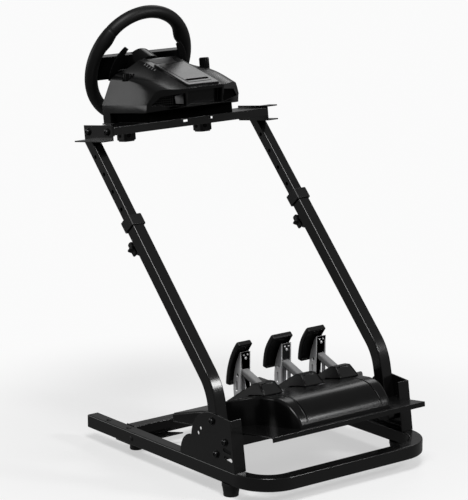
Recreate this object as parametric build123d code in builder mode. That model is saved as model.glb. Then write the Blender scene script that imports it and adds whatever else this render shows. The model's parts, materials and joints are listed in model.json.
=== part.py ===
"""Racing wheel stand with a steering wheel and a three-pedal set, in millimetres.

+X is the driver's right, +Y points away from the driver, +Z is up.
The origin lies on the floor, midway between the front of the base and the rear of the wheel.
"""
import math
import os

from build123d import *

# Base frame: one bent square tube, open towards the driver, on rubber feet
STAND_WIDTH = 506.0
BASE_LENGTH = 628.0
BASE_FRONT_Y = 413.0
TUBE = 30.0
TUBE_WALL = 2.0
TUBE_CORNER = 3.0
BASE_BEND = 90.0
FOOT_HEIGHT = 28.5
FRONT_FOOT_RADIUS = 18.0
REAR_FOOT_RADIUS = 15.0
FOOT_TAPER = 2.0
FRONT_FOOT_Y = 294.0
REAR_FOOT_X = 208.0
CROSS_TUBE_Y = -91.0
CAP_HEAD = 3.0
CAP_PLUG = 14.0
CAP_PLAY = 0.2

# Sheet steel: gussets, side plates, brackets and decks
SHEET = 3.0
GUSSET_REACH = 147.0
GUSSET_LENGTH = 58.0
GUSSET_LEAD = 23.0
PLATE_REAR_Y = 135.0
PLATE_FRONT_Y = 325.5
PLATE_HEIGHT = 111.0
PLATE_LEAN = 17.0
PLATE_CROWN_Y = 249.0
PLATE_CROWN_RISE = 4.0
PLATE_NOTCH_Y = 174.5
PLATE_NOTCH_RISE = 50.5
FLANGE_WIDTH = 31.0
FOLD_HOLE_RADIUS = 4.0
FOLD_HOLE_ANGLES = (39.0, 51.0)
FOLD_LOCK_REACH = 71.0
PEDAL_SLOT_LENGTH = 27.0
PEDAL_SLOT_WIDTH = 8.5
PEDAL_SLOT_AHEAD = 3.6
PEDAL_SLOT_DROPS = (17.5, 34.0)
BOLT_RADIUS = 4.0
BOLT_PLAY = 0.1

# Uprights: lower tubes with a knee, upper tubes sliding inside them
UPRIGHT_PIVOT_Y = 262.0
UPRIGHT_PIVOT_Z = 86.0
UPRIGHT_TAIL = 14.0
LOWER_LEAN = 12.0
UPPER_LEAN = 43.4
KNEE_RISE = 140.38
KNEE_BEND = 120.0
LOWER_RUN = 431.0
BORE_DEPTH = 316.0
UPPER_TUBE = 25.0
UPPER_INSERT = 124.0
UPPER_RUN = 642.0
SIDE_PLAY = 0.5
COLLAR_WALL = 4.0
COLLAR_LENGTH = 26.0
COLLAR_LIP = 4.0
COLLAR_PLAY = 0.4
KNOB_RUN = 376.0
KNOB_BOSS_RADIUS = 9.0
KNOB_BOSS = 9.0
KNOB_STEM_RADIUS = 4.0
KNOB_STEM_PLAY = 0.1
KNOB_HEAD_RADIUS = 19.0
KNOB_HEAD = 16.0
KNOB_LOBES = 6
KNOB_LOBE_RADIUS = 6.0
KNOB_GAP = 1.0
HEIGHT_HOLE_RADIUS = 4.5
HEIGHT_HOLE_PITCH = 47.0
HEIGHT_HOLES = 4

# Wheel deck on tilting side brackets
DECK_TILT = 7.5
BOLT_AHEAD = 40.0
BOLT_RISE = 20.0
LEAF_FRONT = 19.5
LEAF_REAR = 90.0
LEAF_TOP = 15.0
LEAF_FLANGE = 31.0
TAB_LENGTH = 30.0
TILT_SLOT_BACK = 74.0
TILT_SLOT_LENGTH = 14.0
TILT_SLOT_WIDTH = 7.0
DECK_LEVEL = 10.0
DECK_LIP = 18.0
DECK_SIDE = 20.0
LIP_SLOT_PLACES = (17.5, -53.5)
LIP_SLOT_WIDTH = 13.0
LIP_SLOT_HEIGHT = 5.0
TONGUE_WIDTH = 270.0
TONGUE_REACH = 52.0

# Wheel unit: housing, lid, table clamps, rim, hub and shift paddles
HOUSING_WIDTH = 260.0
HOUSING_REAR = -144.0
HOUSING_NOSE = 80.0
SKIRT_TOP = 40.0
SKIRT_BOTTOM = 22.0
SHOULDER_TOP = 102.0
SHOULDER_INSET = 12.0
SHOULDER_MID_Y = -27.0
SHOULDER_MID_TOP = 96.0
SHOULDER_MID_INSET = 18.0
SHOULDER_NOSE_TOP = 58.0
SHOULDER_NOSE_INSET = 27.0
SPINE_REAR = -94.0
SPINE_TOP = 137.0
SPINE_WIDTH = 104.0
SPINE_NOSE_TOP = 71.0
SPINE_NOSE_WIDTH = 94.0
SPINE_FOOT_INSET = 30.0
SPINE_SINK = 4.0
NOSE_WIDTH = 104.0
NOSE_LIP = 30.0
NOSE_LEAN = 0.19
CHEEK_BACK = 43.0
CHIN_Y = 22.0
BELLY_INSET = 12.0
BELLY_FRONT = 18.0
HEEL_LENGTH = 29.0
GRILLE_DEPTH = 15.0
GRILLE_FRAME = 4.0
LID_THICK = 6.0
LID_WIDTH = 80.0
LID_LENGTH = 130.0
LID_CORNER = 8.0
CLAMP_INSET = 21.5
CLAMP_WIDTH = 33.0
CLAMP_LENGTH = 38.0
CLAMP_CORNER = 8.0
CLAMP_DROP = 38.0
CLAMP_FRONT = -70.0
CLAMP_KNOB_Y = -61.0
CLAMP_KNOB_RADIUS = 10.5
CLAMP_KNOB_TOPS = {"right": 114.0, "left": 128.0}
CLAMP_SEAT_LEVEL = 93.0
CLAMP_SEAT_PLAY = 1.0
RIM_DIAMETER = 292.0
RIM_SECTION = 30.0
RIM_BACK = 170.0
RIM_RISE = 135.0
RIM_TILT = 10.5
HUB_RADIUS = 39.0
HUB_FRONT = 2.0
HUB_BACK = 42.0
SPOKE_HEIGHT = 58.0
SPOKE_THICK = 14.0
LOWER_SPOKE_WIDTH = 46.0
COLUMN_RADIUS = 30.0
COLUMN_GAP = 2.0
SHAFT_RADIUS = 12.0
SHAFT_LENGTH = 45.0
SHAFT_PLAY = 0.1
PADDLE_DEPTH = 36.0
PADDLE_CLEAR = 6.0
PADDLE_THICK = 4.0
PADDLE_ROOT = 18.0
PADDLE_REACH = 52.0
PADDLE_WIDTH = 19.0
PADDLE_TOP = (38.0, 67.0)
PADDLE_BOTTOM = (68.0, -15.0)
PADDLE_BOW = 10.0
PADDLE_HINGE_RADIUS = 3.0
FIT_GAP = 0.5

# Pedal deck and pedals; each pedal: name, arm place, pad place, pad width, pad foot above the pivot
PEDAL_DECK_TILT = 7.7
PEDAL_DECK_FRONT_Y = 405.0
PEDAL_DECK_FRONT_Z = 150.0
PEDAL_DECK_WIDTH = 428.0
PEDAL_DECK_LENGTH = 351.0
PEDAL_LIP = 11.0
CARRIER_BACK = 117.0
CARRIER_TUBE = 25.0
SHELL_FRONT = 15.0
SHELL_SILL = 7.5
SHELL_HALF_WIDTHS = ((126.0, 15.0), (132.0, 40.0), (137.0, 79.0), (140.0, 126.0), (195.0, 178.0))
SHELL_BROW = (40.0, 33.0)
SHELL_CREST = (79.0, 59.5)
SHELL_TOP = (126.0, 61.0)
SHELL_REAR = (175.0, 57.0)
HEEL_FRONT = (228.0, 35.0)
HEEL_HEIGHT = 17.0
PEDALS = (
    ("throttle", 105.0, 107.0, 38.0, 56.0),
    ("brake", -10.0, 4.0, 56.0, 78.0),
    ("clutch", -110.0, -98.0, 50.0, 77.0),
)
PEDAL_PIVOT_Y = 162.0
PEDAL_PIVOT_Z = 134.0
PEDAL_PIN_RADIUS = 4.0
PEDAL_PIN_SEAT = 8.0
PEDAL_PIN_PLAY = 0.1
ARM_HEIGHT = 133.0
ARM_REAR = 13.0
ARM_DEPTH = 26.0
ARM_WIDTH = 28.0
ARM_SHEET = 3.0
ARM_HOLE_RADIUS = 3.5
ARM_HOLE_RISE = 80.0
ARM_SLOT_LENGTH = 23.0
ARM_SLOT_WIDTH = 5.0
ARM_SLOT_RISE = 55.0
PAD_RADIUS = 163.0
PAD_CENTRE = (140.0, 54.0)
PAD_THICK = 11.0
PAD_TOP = 155.0
BRACKET_BOTTOM = 98.0
STRUT_START = (8.3, 88.8)
STRUT_FALL = 20.0
STRUT_LENGTH = 105.0
STRUT_WIDTH = 18.0
STRUT_DEPTH = 14.0
STRUT_TRAVEL = 26.0
STRUT_PLAY = 0.3
BOOT_WIDTH = 62.0
BOOT_REAR = 255.0
BOOT_FRONT = 105.0
BOOT_FOOT = 40.0
BOOT_TOP = 86.0
BOOT_TOP_WIDTH = 42.0
BOOT_TOP_REAR = 162.0
BOOT_TOP_FRONT = 146.0
SLOT_WIDTH = 36.0
SLOT_REAR = 19.0
SLOT_FRONT = 50.0

os.makedirs("parts", exist_ok=True)
SIDES = ((1, "right"), (-1, "left"))


def save(piece, name):
    """Label a finished piece and write it under its node name."""
    piece.part.label = name
    export_step(piece.part, f"parts/{name}.step")


def sloped_plane(y, z, tilt):
    """A plane facing up whose far side is raised by tilt degrees."""
    turn = math.radians(tilt)
    return Plane(origin=(0, y, z), x_dir=(1, 0, 0), z_dir=(0, -math.sin(turn), math.cos(turn)))


def side_plane(base):
    """The plane across the object at base's origin, with base's own forward and up axes."""
    return Plane(origin=base.origin, x_dir=base.y_dir, z_dir=(1, 0, 0))


def leaning(angle):
    """Unit direction of an upright that leans towards the driver by angle degrees."""
    turn = math.radians(angle)
    return Vector(0, -math.sin(turn), math.cos(turn))


def tube_section(size):
    """Hollow square tube section, drawn in the current sketch."""
    RectangleRounded(size, size, TUBE_CORNER)
    bore = size - 2 * TUBE_WALL
    RectangleRounded(bore, bore, TUBE_CORNER - TUBE_WALL, mode=Mode.SUBTRACT)


# Places worked out from the driving dimensions
leg_x = STAND_WIDTH / 2 - TUBE / 2
leg_inner_x = leg_x - TUBE / 2
tube_mid = FOOT_HEIGHT + TUBE / 2
tube_top = FOOT_HEIGHT + TUBE
leg_end_y = BASE_FRONT_Y - BASE_LENGTH
plate_inner_x = STAND_WIDTH / 2 - SHEET
upright_x = plate_inner_x - SIDE_PLAY - TUBE / 2

lower_dir = leaning(LOWER_LEAN)
upper_dir = leaning(UPPER_LEAN)
upright_foot = Vector(0, UPRIGHT_PIVOT_Y, UPRIGHT_PIVOT_Z)
knee = upright_foot + lower_dir * KNEE_RISE
lower_end = knee + upper_dir * LOWER_RUN
upright_top = knee + upper_dir * UPPER_RUN

deck_tilt_plane = sloped_plane(upright_top.Y, upright_top.Z, DECK_TILT)
deck_bolt = upright_top + deck_tilt_plane.y_dir * BOLT_AHEAD + deck_tilt_plane.z_dir * BOLT_RISE
deck_plane = sloped_plane(deck_bolt.Y, deck_bolt.Z, DECK_TILT)
deck_side = side_plane(deck_plane)
leaf_x = upright_x - UPPER_TUBE / 2 - SIDE_PLAY - SHEET
leaf_bottom = -BOLT_RISE
deck_half = leaf_x - SIDE_PLAY

rim_centre = deck_bolt + deck_plane.z_dir * RIM_RISE - deck_plane.y_dir * RIM_BACK
rim_turn = math.radians(DECK_TILT + RIM_TILT)
rim_axis = Vector(0, -math.cos(rim_turn), math.sin(rim_turn))
rim_plane = Plane(origin=rim_centre, x_dir=(1, 0, 0), z_dir=rim_axis)

pedal_plane = sloped_plane(PEDAL_DECK_FRONT_Y, PEDAL_DECK_FRONT_Z, PEDAL_DECK_TILT)
pedal_side = side_plane(pedal_plane)
strut_turn = math.radians(STRUT_FALL)
strut_dir = Vector(0, math.cos(strut_turn), -math.sin(strut_turn))

# Base frame: the bent tube, its end caps, the cross tube and the gussets under its ends
with BuildPart() as base_tube:
    with BuildLine(Plane.XY.offset(tube_mid)) as base_run:
        front_mid_y = BASE_FRONT_Y - TUBE / 2
        FilletPolyline(
            (leg_x, leg_end_y),
            (leg_x, front_mid_y),
            (-leg_x, front_mid_y),
            (-leg_x, leg_end_y),
            radius=BASE_BEND - TUBE / 2,
        )
    with BuildSketch(Plane(origin=base_run.line @ 0, x_dir=(1, 0, 0), z_dir=base_run.line % 0)):
        tube_section(TUBE)
    sweep()
save(base_tube, "base_tube")

with BuildPart() as cross_tube:
    with BuildSketch(Plane.YZ.offset(-leg_inner_x)):
        with Locations((CROSS_TUBE_Y, tube_mid)):
            tube_section(TUBE)
    extrude(amount=2 * leg_inner_x)
save(cross_tube, "cross_tube")

for side, hand in SIDES:
    with BuildPart() as leg_cap:
        plug = TUBE - 2 * TUBE_WALL - 2 * CAP_PLAY
        cap_plane = Plane(origin=(side * leg_x, leg_end_y, tube_mid), x_dir=(1, 0, 0), z_dir=(0, -1, 0))
        with BuildSketch(cap_plane):
            RectangleRounded(TUBE, TUBE, TUBE_CORNER)
        extrude(amount=CAP_HEAD)
        fillet(leg_cap.faces().sort_by(Axis.Y)[0].edges(), CAP_HEAD / 3)
        with BuildSketch(cap_plane):
            RectangleRounded(plug, plug, TUBE_CORNER - TUBE_WALL)
        extrude(amount=-CAP_PLUG)
    save(leg_cap, f"leg_cap_{hand}")

    with BuildPart() as gusset:
        with BuildSketch(Plane.XY.offset(FOOT_HEIGHT - SHEET)):
            with BuildLine():
                outer = side * (leg_x + TUBE / 2 - TUBE_CORNER)
                tip = outer - side * GUSSET_REACH
                lead_y = CROSS_TUBE_Y + TUBE / 2 + GUSSET_LEAD
                tail_y = lead_y - GUSSET_LENGTH
                Polyline(
                    (outer, lead_y),
                    (tip, lead_y),
                    (tip + side * GUSSET_LENGTH, tail_y),
                    (outer, tail_y),
                    close=True,
                )
            make_face()
        extrude(amount=SHEET)
    save(gusset, f"gusset_{hand}")

    with BuildPart() as front_foot:
        with Locations((side * leg_x, FRONT_FOOT_Y, 0)):
            Cone(
                FRONT_FOOT_RADIUS - FOOT_TAPER,
                FRONT_FOOT_RADIUS - FOOT_TAPER / 2,
                FOOT_HEIGHT,
                align=(Align.CENTER, Align.CENTER, Align.MIN),
            )
    save(front_foot, f"front_foot_{hand}")

    with BuildPart() as rear_foot:
        with Locations((side * REAR_FOOT_X, CROSS_TUBE_Y, 0)):
            Cone(
                REAR_FOOT_RADIUS - FOOT_TAPER,
                REAR_FOOT_RADIUS,
                FOOT_HEIGHT - SHEET,
                align=(Align.CENTER, Align.CENTER, Align.MIN),
            )
    save(rear_foot, f"rear_foot_{hand}")

    # Side plate with its folded front flange, standing on the leg and flush with its outside
    with BuildPart() as side_plate:
        plate_top = tube_top + PLATE_HEIGHT
        front_top_y = PLATE_FRONT_Y - PLATE_LEAN
        inner_face = plate_inner_x if side > 0 else -plate_inner_x - SHEET
        with BuildSketch(Plane.YZ.offset(inner_face)):
            with BuildLine():
                crown = (PLATE_CROWN_Y, plate_top + PLATE_CROWN_RISE)
                notch = (PLATE_NOTCH_Y, tube_top + PLATE_NOTCH_RISE)
                rear_top = (PLATE_REAR_Y, tube_top + SHEET)
                Polyline(
                    rear_top,
                    (PLATE_REAR_Y, tube_top),
                    (PLATE_FRONT_Y, tube_top),
                    (front_top_y, plate_top),
                    crown,
                )
                EllipticalCenterArc(
                    (PLATE_CROWN_Y, notch[1]),
                    PLATE_CROWN_Y - PLATE_NOTCH_Y,
                    crown[1] - notch[1],
                    start_angle=90,
                    arc_size=90,
                )
                EllipticalCenterArc(
                    (PLATE_NOTCH_Y, rear_top[1]),
                    PLATE_NOTCH_Y - PLATE_REAR_Y,
                    notch[1] - rear_top[1],
                    start_angle=90,
                    arc_size=90,
                )
            make_face()
            lock_angle = 90 + LOWER_LEAN
            for turn in FOLD_HOLE_ANGLES:
                swing = math.radians(lock_angle + turn)
                hole_y = UPRIGHT_PIVOT_Y + FOLD_LOCK_REACH * math.cos(swing)
                hole_z = UPRIGHT_PIVOT_Z + FOLD_LOCK_REACH * math.sin(swing)
                with Locations((hole_y, hole_z)):
                    Circle(FOLD_HOLE_RADIUS, mode=Mode.SUBTRACT)
            carrier_bolt = pedal_plane.from_local_coords((0, -CARRIER_BACK, -SHEET - CARRIER_TUBE / 2))
            lock_bolt = upright_foot + lower_dir * FOLD_LOCK_REACH
            for bolt in (upright_foot, lock_bolt, carrier_bolt):
                with Locations((bolt.Y, bolt.Z)):
                    Circle(BOLT_RADIUS + BOLT_PLAY, mode=Mode.SUBTRACT)
            for drop in PEDAL_SLOT_DROPS:
                slot_y = carrier_bolt.Y + PEDAL_SLOT_AHEAD + drop / 4
                with Locations(Location((slot_y, carrier_bolt.Z - drop, 0), (0, 0, -8))):
                    SlotOverall(PEDAL_SLOT_LENGTH, PEDAL_SLOT_WIDTH, mode=Mode.SUBTRACT)
        extrude(amount=SHEET)
        flange_x = -plate_inner_x if side < 0 else STAND_WIDTH / 2 - FLANGE_WIDTH
        with BuildSketch(Plane.YZ.offset(flange_x)):
            with BuildLine():
                Polyline(
                    (PLATE_FRONT_Y, tube_top),
                    (front_top_y, plate_top),
                    (front_top_y - SHEET, plate_top),
                    (PLATE_FRONT_Y - SHEET, tube_top),
                    close=True,
                )
            make_face()
        extrude(amount=FLANGE_WIDTH - SHEET)
    save(side_plate, f"side_plate_{hand}")

# Uprights: kneed lower tubes with collars and lock knobs, upper tubes sliding inside
for side, hand in SIDES:
    offset_x = Vector(side * upright_x, 0, 0)
    knob_at = knee + upper_dir * KNOB_RUN + offset_x
    knob_out = Vector(0, -upper_dir.Z, upper_dir.Y)
    with BuildPart() as lower_upright:
        with BuildLine() as upright_run:
            tail = upright_foot - lower_dir * UPRIGHT_TAIL
            FilletPolyline(tail + offset_x, knee + offset_x, lower_end + offset_x, radius=KNEE_BEND)
        with BuildSketch(Plane(origin=upright_run.line @ 0, x_dir=(1, 0, 0), z_dir=upright_run.line % 0)):
            RectangleRounded(TUBE, TUBE, TUBE_CORNER)
        sweep()
        boss_plane = Plane(origin=knob_at, x_dir=(1, 0, 0), z_dir=knob_out)
        with BuildSketch(boss_plane.offset(TUBE / 2)):
            Circle(KNOB_BOSS_RADIUS)
        extrude(amount=KNOB_BOSS)
        with BuildSketch(Plane(origin=lower_end + offset_x, x_dir=(1, 0, 0), z_dir=-upper_dir)):
            bore = TUBE - 2 * TUBE_WALL
            RectangleRounded(bore, bore, TUBE_CORNER - TUBE_WALL)
        extrude(amount=BORE_DEPTH, mode=Mode.SUBTRACT)
        with BuildSketch(boss_plane):
            Circle(KNOB_STEM_RADIUS + KNOB_STEM_PLAY)
        extrude(amount=TUBE / 2 + KNOB_BOSS, mode=Mode.SUBTRACT)
        with BuildSketch(Plane.YZ.offset(offset_x.X - TUBE)):
            for bolt in (upright_foot, upright_foot + lower_dir * FOLD_LOCK_REACH):
                with Locations((bolt.Y, bolt.Z)):
                    Circle(BOLT_RADIUS + BOLT_PLAY)
        extrude(amount=2 * TUBE, mode=Mode.SUBTRACT)
    save(lower_upright, f"lower_upright_{hand}")

    with BuildPart() as collar:
        collar_plane = Plane(origin=lower_end + offset_x, x_dir=(1, 0, 0), z_dir=upper_dir)
        with BuildSketch(collar_plane.offset(COLLAR_LIP)):
            RectangleRounded(TUBE + 2 * COLLAR_WALL, TUBE + 2 * COLLAR_WALL, TUBE_CORNER + COLLAR_WALL / 2)
        extrude(amount=-COLLAR_LENGTH)
        with BuildSketch(collar_plane):
            RectangleRounded(TUBE, TUBE, TUBE_CORNER)
        extrude(amount=-COLLAR_LENGTH, mode=Mode.SUBTRACT)
        with BuildSketch(collar_plane):
            throat = UPPER_TUBE + 2 * COLLAR_PLAY
            RectangleRounded(throat, throat, TUBE_CORNER)
        extrude(amount=COLLAR_LIP, mode=Mode.SUBTRACT)
    save(collar, f"collar_{hand}")

    with BuildPart() as height_knob:
        seat = TUBE / 2 + KNOB_BOSS + KNOB_GAP
        with BuildSketch(boss_plane.offset(seat)):
            Circle(KNOB_HEAD_RADIUS - KNOB_LOBE_RADIUS)
            with PolarLocations(KNOB_HEAD_RADIUS - KNOB_LOBE_RADIUS, KNOB_LOBES):
                Circle(KNOB_LOBE_RADIUS)
        extrude(amount=KNOB_HEAD)
        stem_start = UPPER_TUBE / 2 + SIDE_PLAY
        with BuildSketch(boss_plane.offset(stem_start)):
            Circle(KNOB_STEM_RADIUS)
        extrude(amount=seat - stem_start)
    save(height_knob, f"height_knob_{hand}")

    with BuildPart() as upper_upright:
        upper_start = lower_end - upper_dir * UPPER_INSERT
        with BuildSketch(Plane(origin=upper_start + offset_x, x_dir=(1, 0, 0), z_dir=upper_dir)):
            tube_section(UPPER_TUBE)
        extrude(amount=UPPER_RUN - LOWER_RUN + UPPER_INSERT + UPPER_TUBE)
        split(bisect_by=deck_tilt_plane, keep=Keep.BOTTOM)
        hole_plane = Plane(origin=knob_at, x_dir=upper_dir, z_dir=(1, 0, 0))
        with BuildSketch(hole_plane.offset(-UPPER_TUBE)):
            for step in range(HEIGHT_HOLES):
                with Locations((HEIGHT_HOLE_PITCH * (step + 2) - HEIGHT_HOLE_PITCH / 5, 0)):
                    Circle(HEIGHT_HOLE_RADIUS)
        extrude(amount=2 * UPPER_TUBE, mode=Mode.SUBTRACT)
    save(upper_upright, f"upper_upright_{hand}")

    # Deck bracket: an upright leaf with a slot, folded out into a flange on the tube's top
    with BuildPart() as deck_bracket:
        with BuildSketch(deck_plane.offset(leaf_bottom)):
            with Locations((side * (leaf_x + LEAF_FLANGE / 2), (LEAF_FRONT - LEAF_REAR) / 2)):
                Rectangle(LEAF_FLANGE, LEAF_FRONT + LEAF_REAR)
        extrude(amount=SHEET)
        with BuildSketch(deck_side.offset(side * leaf_x)):
            with Locations(((LEAF_FRONT - LEAF_REAR) / 2, (LEAF_TOP + leaf_bottom) / 2)):
                Rectangle(LEAF_FRONT + LEAF_REAR, LEAF_TOP - leaf_bottom)
            with Locations((-TILT_SLOT_BACK, 0)):
                SlotOverall(TILT_SLOT_LENGTH, TILT_SLOT_WIDTH, rotation=90, mode=Mode.SUBTRACT)
            Circle(BOLT_RADIUS + BOLT_PLAY, mode=Mode.SUBTRACT)
        extrude(amount=side * SHEET)
        if hand == "left":
            with BuildSketch(deck_plane.offset(LEAF_TOP - SHEET)):
                with Locations((side * (leaf_x + LEAF_FLANGE / 2), LEAF_FRONT - TAB_LENGTH / 2)):
                    Rectangle(LEAF_FLANGE, TAB_LENGTH)
            extrude(amount=SHEET)
    save(deck_bracket, f"deck_bracket_{hand}")

# Wheel deck: a folded sheet with a front lip, side cheeks and a tongue under the wheel unit
with BuildPart() as deck_plate:
    with BuildSketch(deck_plane.offset(DECK_LEVEL - SHEET)):
        with Locations((0, (LEAF_FRONT - LEAF_REAR) / 2)):
            Rectangle(2 * deck_half, LEAF_FRONT + LEAF_REAR)
        with Locations((0, -LEAF_REAR - TONGUE_REACH / 2)):
            Rectangle(TONGUE_WIDTH, TONGUE_REACH)
    extrude(amount=SHEET)
    with BuildSketch(deck_side.offset(-deck_half)):
        with Locations((LEAF_FRONT - SHEET / 2, DECK_LEVEL - DECK_LIP / 2)):
            Rectangle(SHEET, DECK_LIP)
    extrude(amount=2 * deck_half)
    lip_face = deck_plane.from_local_coords((0, LEAF_FRONT, DECK_LEVEL - SHEET - LIP_SLOT_HEIGHT / 2))
    with BuildSketch(Plane(origin=lip_face, x_dir=(1, 0, 0), z_dir=-deck_plane.y_dir)):
        with Locations([(x, 0) for x in LIP_SLOT_PLACES]):
            Rectangle(LIP_SLOT_WIDTH, LIP_SLOT_HEIGHT)
    extrude(amount=SHEET, mode=Mode.SUBTRACT)
    for side, hand in SIDES:
        with BuildSketch(deck_side.offset(side * deck_half)):
            with Locations(((LEAF_FRONT - LEAF_REAR) / 2, DECK_LEVEL - DECK_SIDE / 2)):
                Rectangle(LEAF_FRONT + LEAF_REAR, DECK_SIDE)
            Circle(BOLT_RADIUS + BOLT_PLAY, mode=Mode.SUBTRACT)
        extrude(amount=-side * SHEET)
save(deck_plate, "deck_plate")

# Wheel unit housing: sloping shoulders and a raised spine over a skirt, with a recessed belly,
# three grille recesses in the nose and the column stub
def trapezoid(low_width, low, high_width, high):
    """A symmetrical four-sided face between two heights, drawn in the current sketch."""
    Polygon(
        (-low_width / 2, low),
        (low_width / 2, low),
        (high_width / 2, high),
        (-high_width / 2, high),
        align=None,
    )


housing_floor = DECK_LEVEL
skirt_end = deck_plane.from_local_coords((0, HOUSING_REAR, housing_floor + SKIRT_TOP))
spine_end = deck_plane.from_local_coords((0, SPINE_REAR, housing_floor + SPINE_TOP))
nose_foot = deck_plane.from_local_coords((0, HOUSING_NOSE, housing_floor))
back_dir = (spine_end - skirt_end).normalized()
back_stretch = (spine_end - skirt_end).length / (SPINE_TOP - SKIRT_TOP)
housing_back = Plane(origin=skirt_end, x_dir=(1, 0, 0), z_dir=Vector(1, 0, 0).cross(back_dir))
housing_front = Plane(origin=nose_foot, x_dir=(1, 0, 0), z_dir=-deck_plane.y_dir)
nose_dir = deck_plane.z_dir + deck_plane.y_dir * NOSE_LEAN
nose_top = deck_plane.from_local_coords((0, HOUSING_NOSE, housing_floor + SPINE_NOSE_TOP))
nose_plane = Plane(origin=nose_top, x_dir=(1, 0, 0), z_dir=Vector(1, 0, 0).cross(nose_dir))
cheek_run = HOUSING_WIDTH / 2 - NOSE_WIDTH / 2
grille_drop = SPINE_NOSE_TOP - NOSE_LIP - 2 * GRILLE_FRAME
with BuildPart() as wheel_housing:
    with BuildSketch(housing_back):
        shoulder_rise = (SHOULDER_TOP - SKIRT_TOP) * back_stretch
        trapezoid(HOUSING_WIDTH, 0, HOUSING_WIDTH - 2 * SHOULDER_INSET, shoulder_rise)
    with BuildSketch(housing_front.offset(HOUSING_NOSE - SHOULDER_MID_Y)):
        shoulder_mid_width = HOUSING_WIDTH - 2 * SHOULDER_MID_INSET
        trapezoid(HOUSING_WIDTH, SKIRT_TOP, shoulder_mid_width, SHOULDER_MID_TOP)
    with BuildSketch(housing_front):
        shoulder_nose_width = HOUSING_WIDTH - 2 * SHOULDER_NOSE_INSET
        trapezoid(HOUSING_WIDTH, SKIRT_TOP, shoulder_nose_width, SHOULDER_NOSE_TOP)
    loft(ruled=True)
    spine_foot_width = HOUSING_WIDTH - 2 * SPINE_FOOT_INSET
    with BuildSketch(housing_back):
        spine_rise = (SPINE_TOP - SKIRT_TOP) * back_stretch
        trapezoid(spine_foot_width, shoulder_rise - SPINE_SINK, SPINE_WIDTH, spine_rise)
    with BuildSketch(housing_front):
        trapezoid(spine_foot_width, SHOULDER_NOSE_TOP - SPINE_SINK, SPINE_NOSE_WIDTH, SPINE_NOSE_TOP)
    loft(ruled=True)
    with BuildSketch(deck_side.offset(-HOUSING_WIDTH / 2)):
        with BuildLine():
            Polyline(
                (HOUSING_REAR, housing_floor + SKIRT_BOTTOM),
                (CHIN_Y, housing_floor + SKIRT_BOTTOM),
                (HOUSING_NOSE, housing_floor + NOSE_LIP),
                (HOUSING_NOSE, housing_floor + SKIRT_TOP),
                (HOUSING_REAR, housing_floor + SKIRT_TOP),
                close=True,
            )
        make_face()
    extrude(amount=HOUSING_WIDTH)
    with BuildSketch(deck_plane.offset(housing_floor)):
        with Locations((0, (HOUSING_REAR + SHEET + BELLY_FRONT) / 2)):
            Rectangle(HOUSING_WIDTH - 2 * BELLY_INSET, BELLY_FRONT - HOUSING_REAR - SHEET)
        heel_x = (HOUSING_WIDTH - BELLY_INSET) / 2
        with Locations([(side * heel_x, HOUSING_REAR + HEEL_LENGTH / 2) for side, hand in SIDES]):
            Rectangle(BELLY_INSET, HEEL_LENGTH)
    extrude(amount=SKIRT_BOTTOM + SHEET)
    with BuildSketch(deck_plane.offset(housing_floor + SPINE_NOSE_TOP)):
        with BuildLine():
            Polyline(
                (-HOUSING_WIDTH / 2, HOUSING_NOSE - CHEEK_BACK),
                (-NOSE_WIDTH / 2, HOUSING_NOSE),
                (NOSE_WIDTH / 2, HOUSING_NOSE),
                (HOUSING_WIDTH / 2, HOUSING_NOSE - CHEEK_BACK),
                (HOUSING_WIDTH / 2, HOUSING_NOSE + CHEEK_BACK),
                (-HOUSING_WIDTH / 2, HOUSING_NOSE + CHEEK_BACK),
                close=True,
            )
        make_face()
    extrude(amount=-SPINE_NOSE_TOP, dir=nose_dir, mode=Mode.SUBTRACT)
    with BuildSketch(nose_plane):
        with Locations((0, -GRILLE_FRAME * 2 - grille_drop / 2)):
            Rectangle(NOSE_WIDTH - 2 * GRILLE_FRAME, grille_drop)
    extrude(amount=GRILLE_DEPTH, mode=Mode.SUBTRACT)
    for side, hand in SIDES:
        cheek_dir = deck_plane.x_dir * (side * cheek_run) - deck_plane.y_dir * CHEEK_BACK
        cheek_plane = Plane(
            origin=nose_top + deck_plane.x_dir * (side * NOSE_WIDTH / 2),
            x_dir=cheek_dir,
            z_dir=cheek_dir.cross(nose_dir) * side,
        )
        cheek_width = cheek_dir.length
        with BuildSketch(cheek_plane):
            with BuildLine():
                Polyline(
                    (GRILLE_FRAME, -3 * GRILLE_FRAME * side),
                    (cheek_width * 2 / 3, -4 * GRILLE_FRAME * side),
                    (cheek_width - 2 * GRILLE_FRAME, -grille_drop * side),
                    (GRILLE_FRAME, -(grille_drop + 2 * GRILLE_FRAME) * side),
                    close=True,
                )
            make_face()
        extrude(amount=GRILLE_DEPTH, mode=Mode.SUBTRACT)
    knob_places = [(side * (HOUSING_WIDTH / 2 - CLAMP_INSET), CLAMP_KNOB_Y) for side, hand in SIDES]
    with BuildSketch(deck_plane.offset(housing_floor + CLAMP_SEAT_LEVEL)):
        with Locations(knob_places):
            Circle(CLAMP_KNOB_RADIUS + CLAMP_SEAT_PLAY)
    extrude(amount=SHOULDER_TOP, mode=Mode.SUBTRACT)
    with BuildSketch(rim_plane.offset(-PADDLE_DEPTH - PADDLE_THICK - PADDLE_CLEAR)):
        Circle(RIM_DIAMETER / 2 - RIM_SECTION)
    extrude(amount=PADDLE_DEPTH + PADDLE_THICK, mode=Mode.SUBTRACT)
    with BuildSketch(rim_plane.offset(-HUB_BACK - COLUMN_GAP)):
        Circle(COLUMN_RADIUS)
    extrude(amount=-RIM_BACK / 2)
    with BuildSketch(rim_plane.offset(-HUB_BACK)):
        Circle(SHAFT_RADIUS + SHAFT_PLAY)
    extrude(amount=-SHAFT_LENGTH - COLUMN_GAP, mode=Mode.SUBTRACT)
save(wheel_housing, "wheel_housing")

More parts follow.
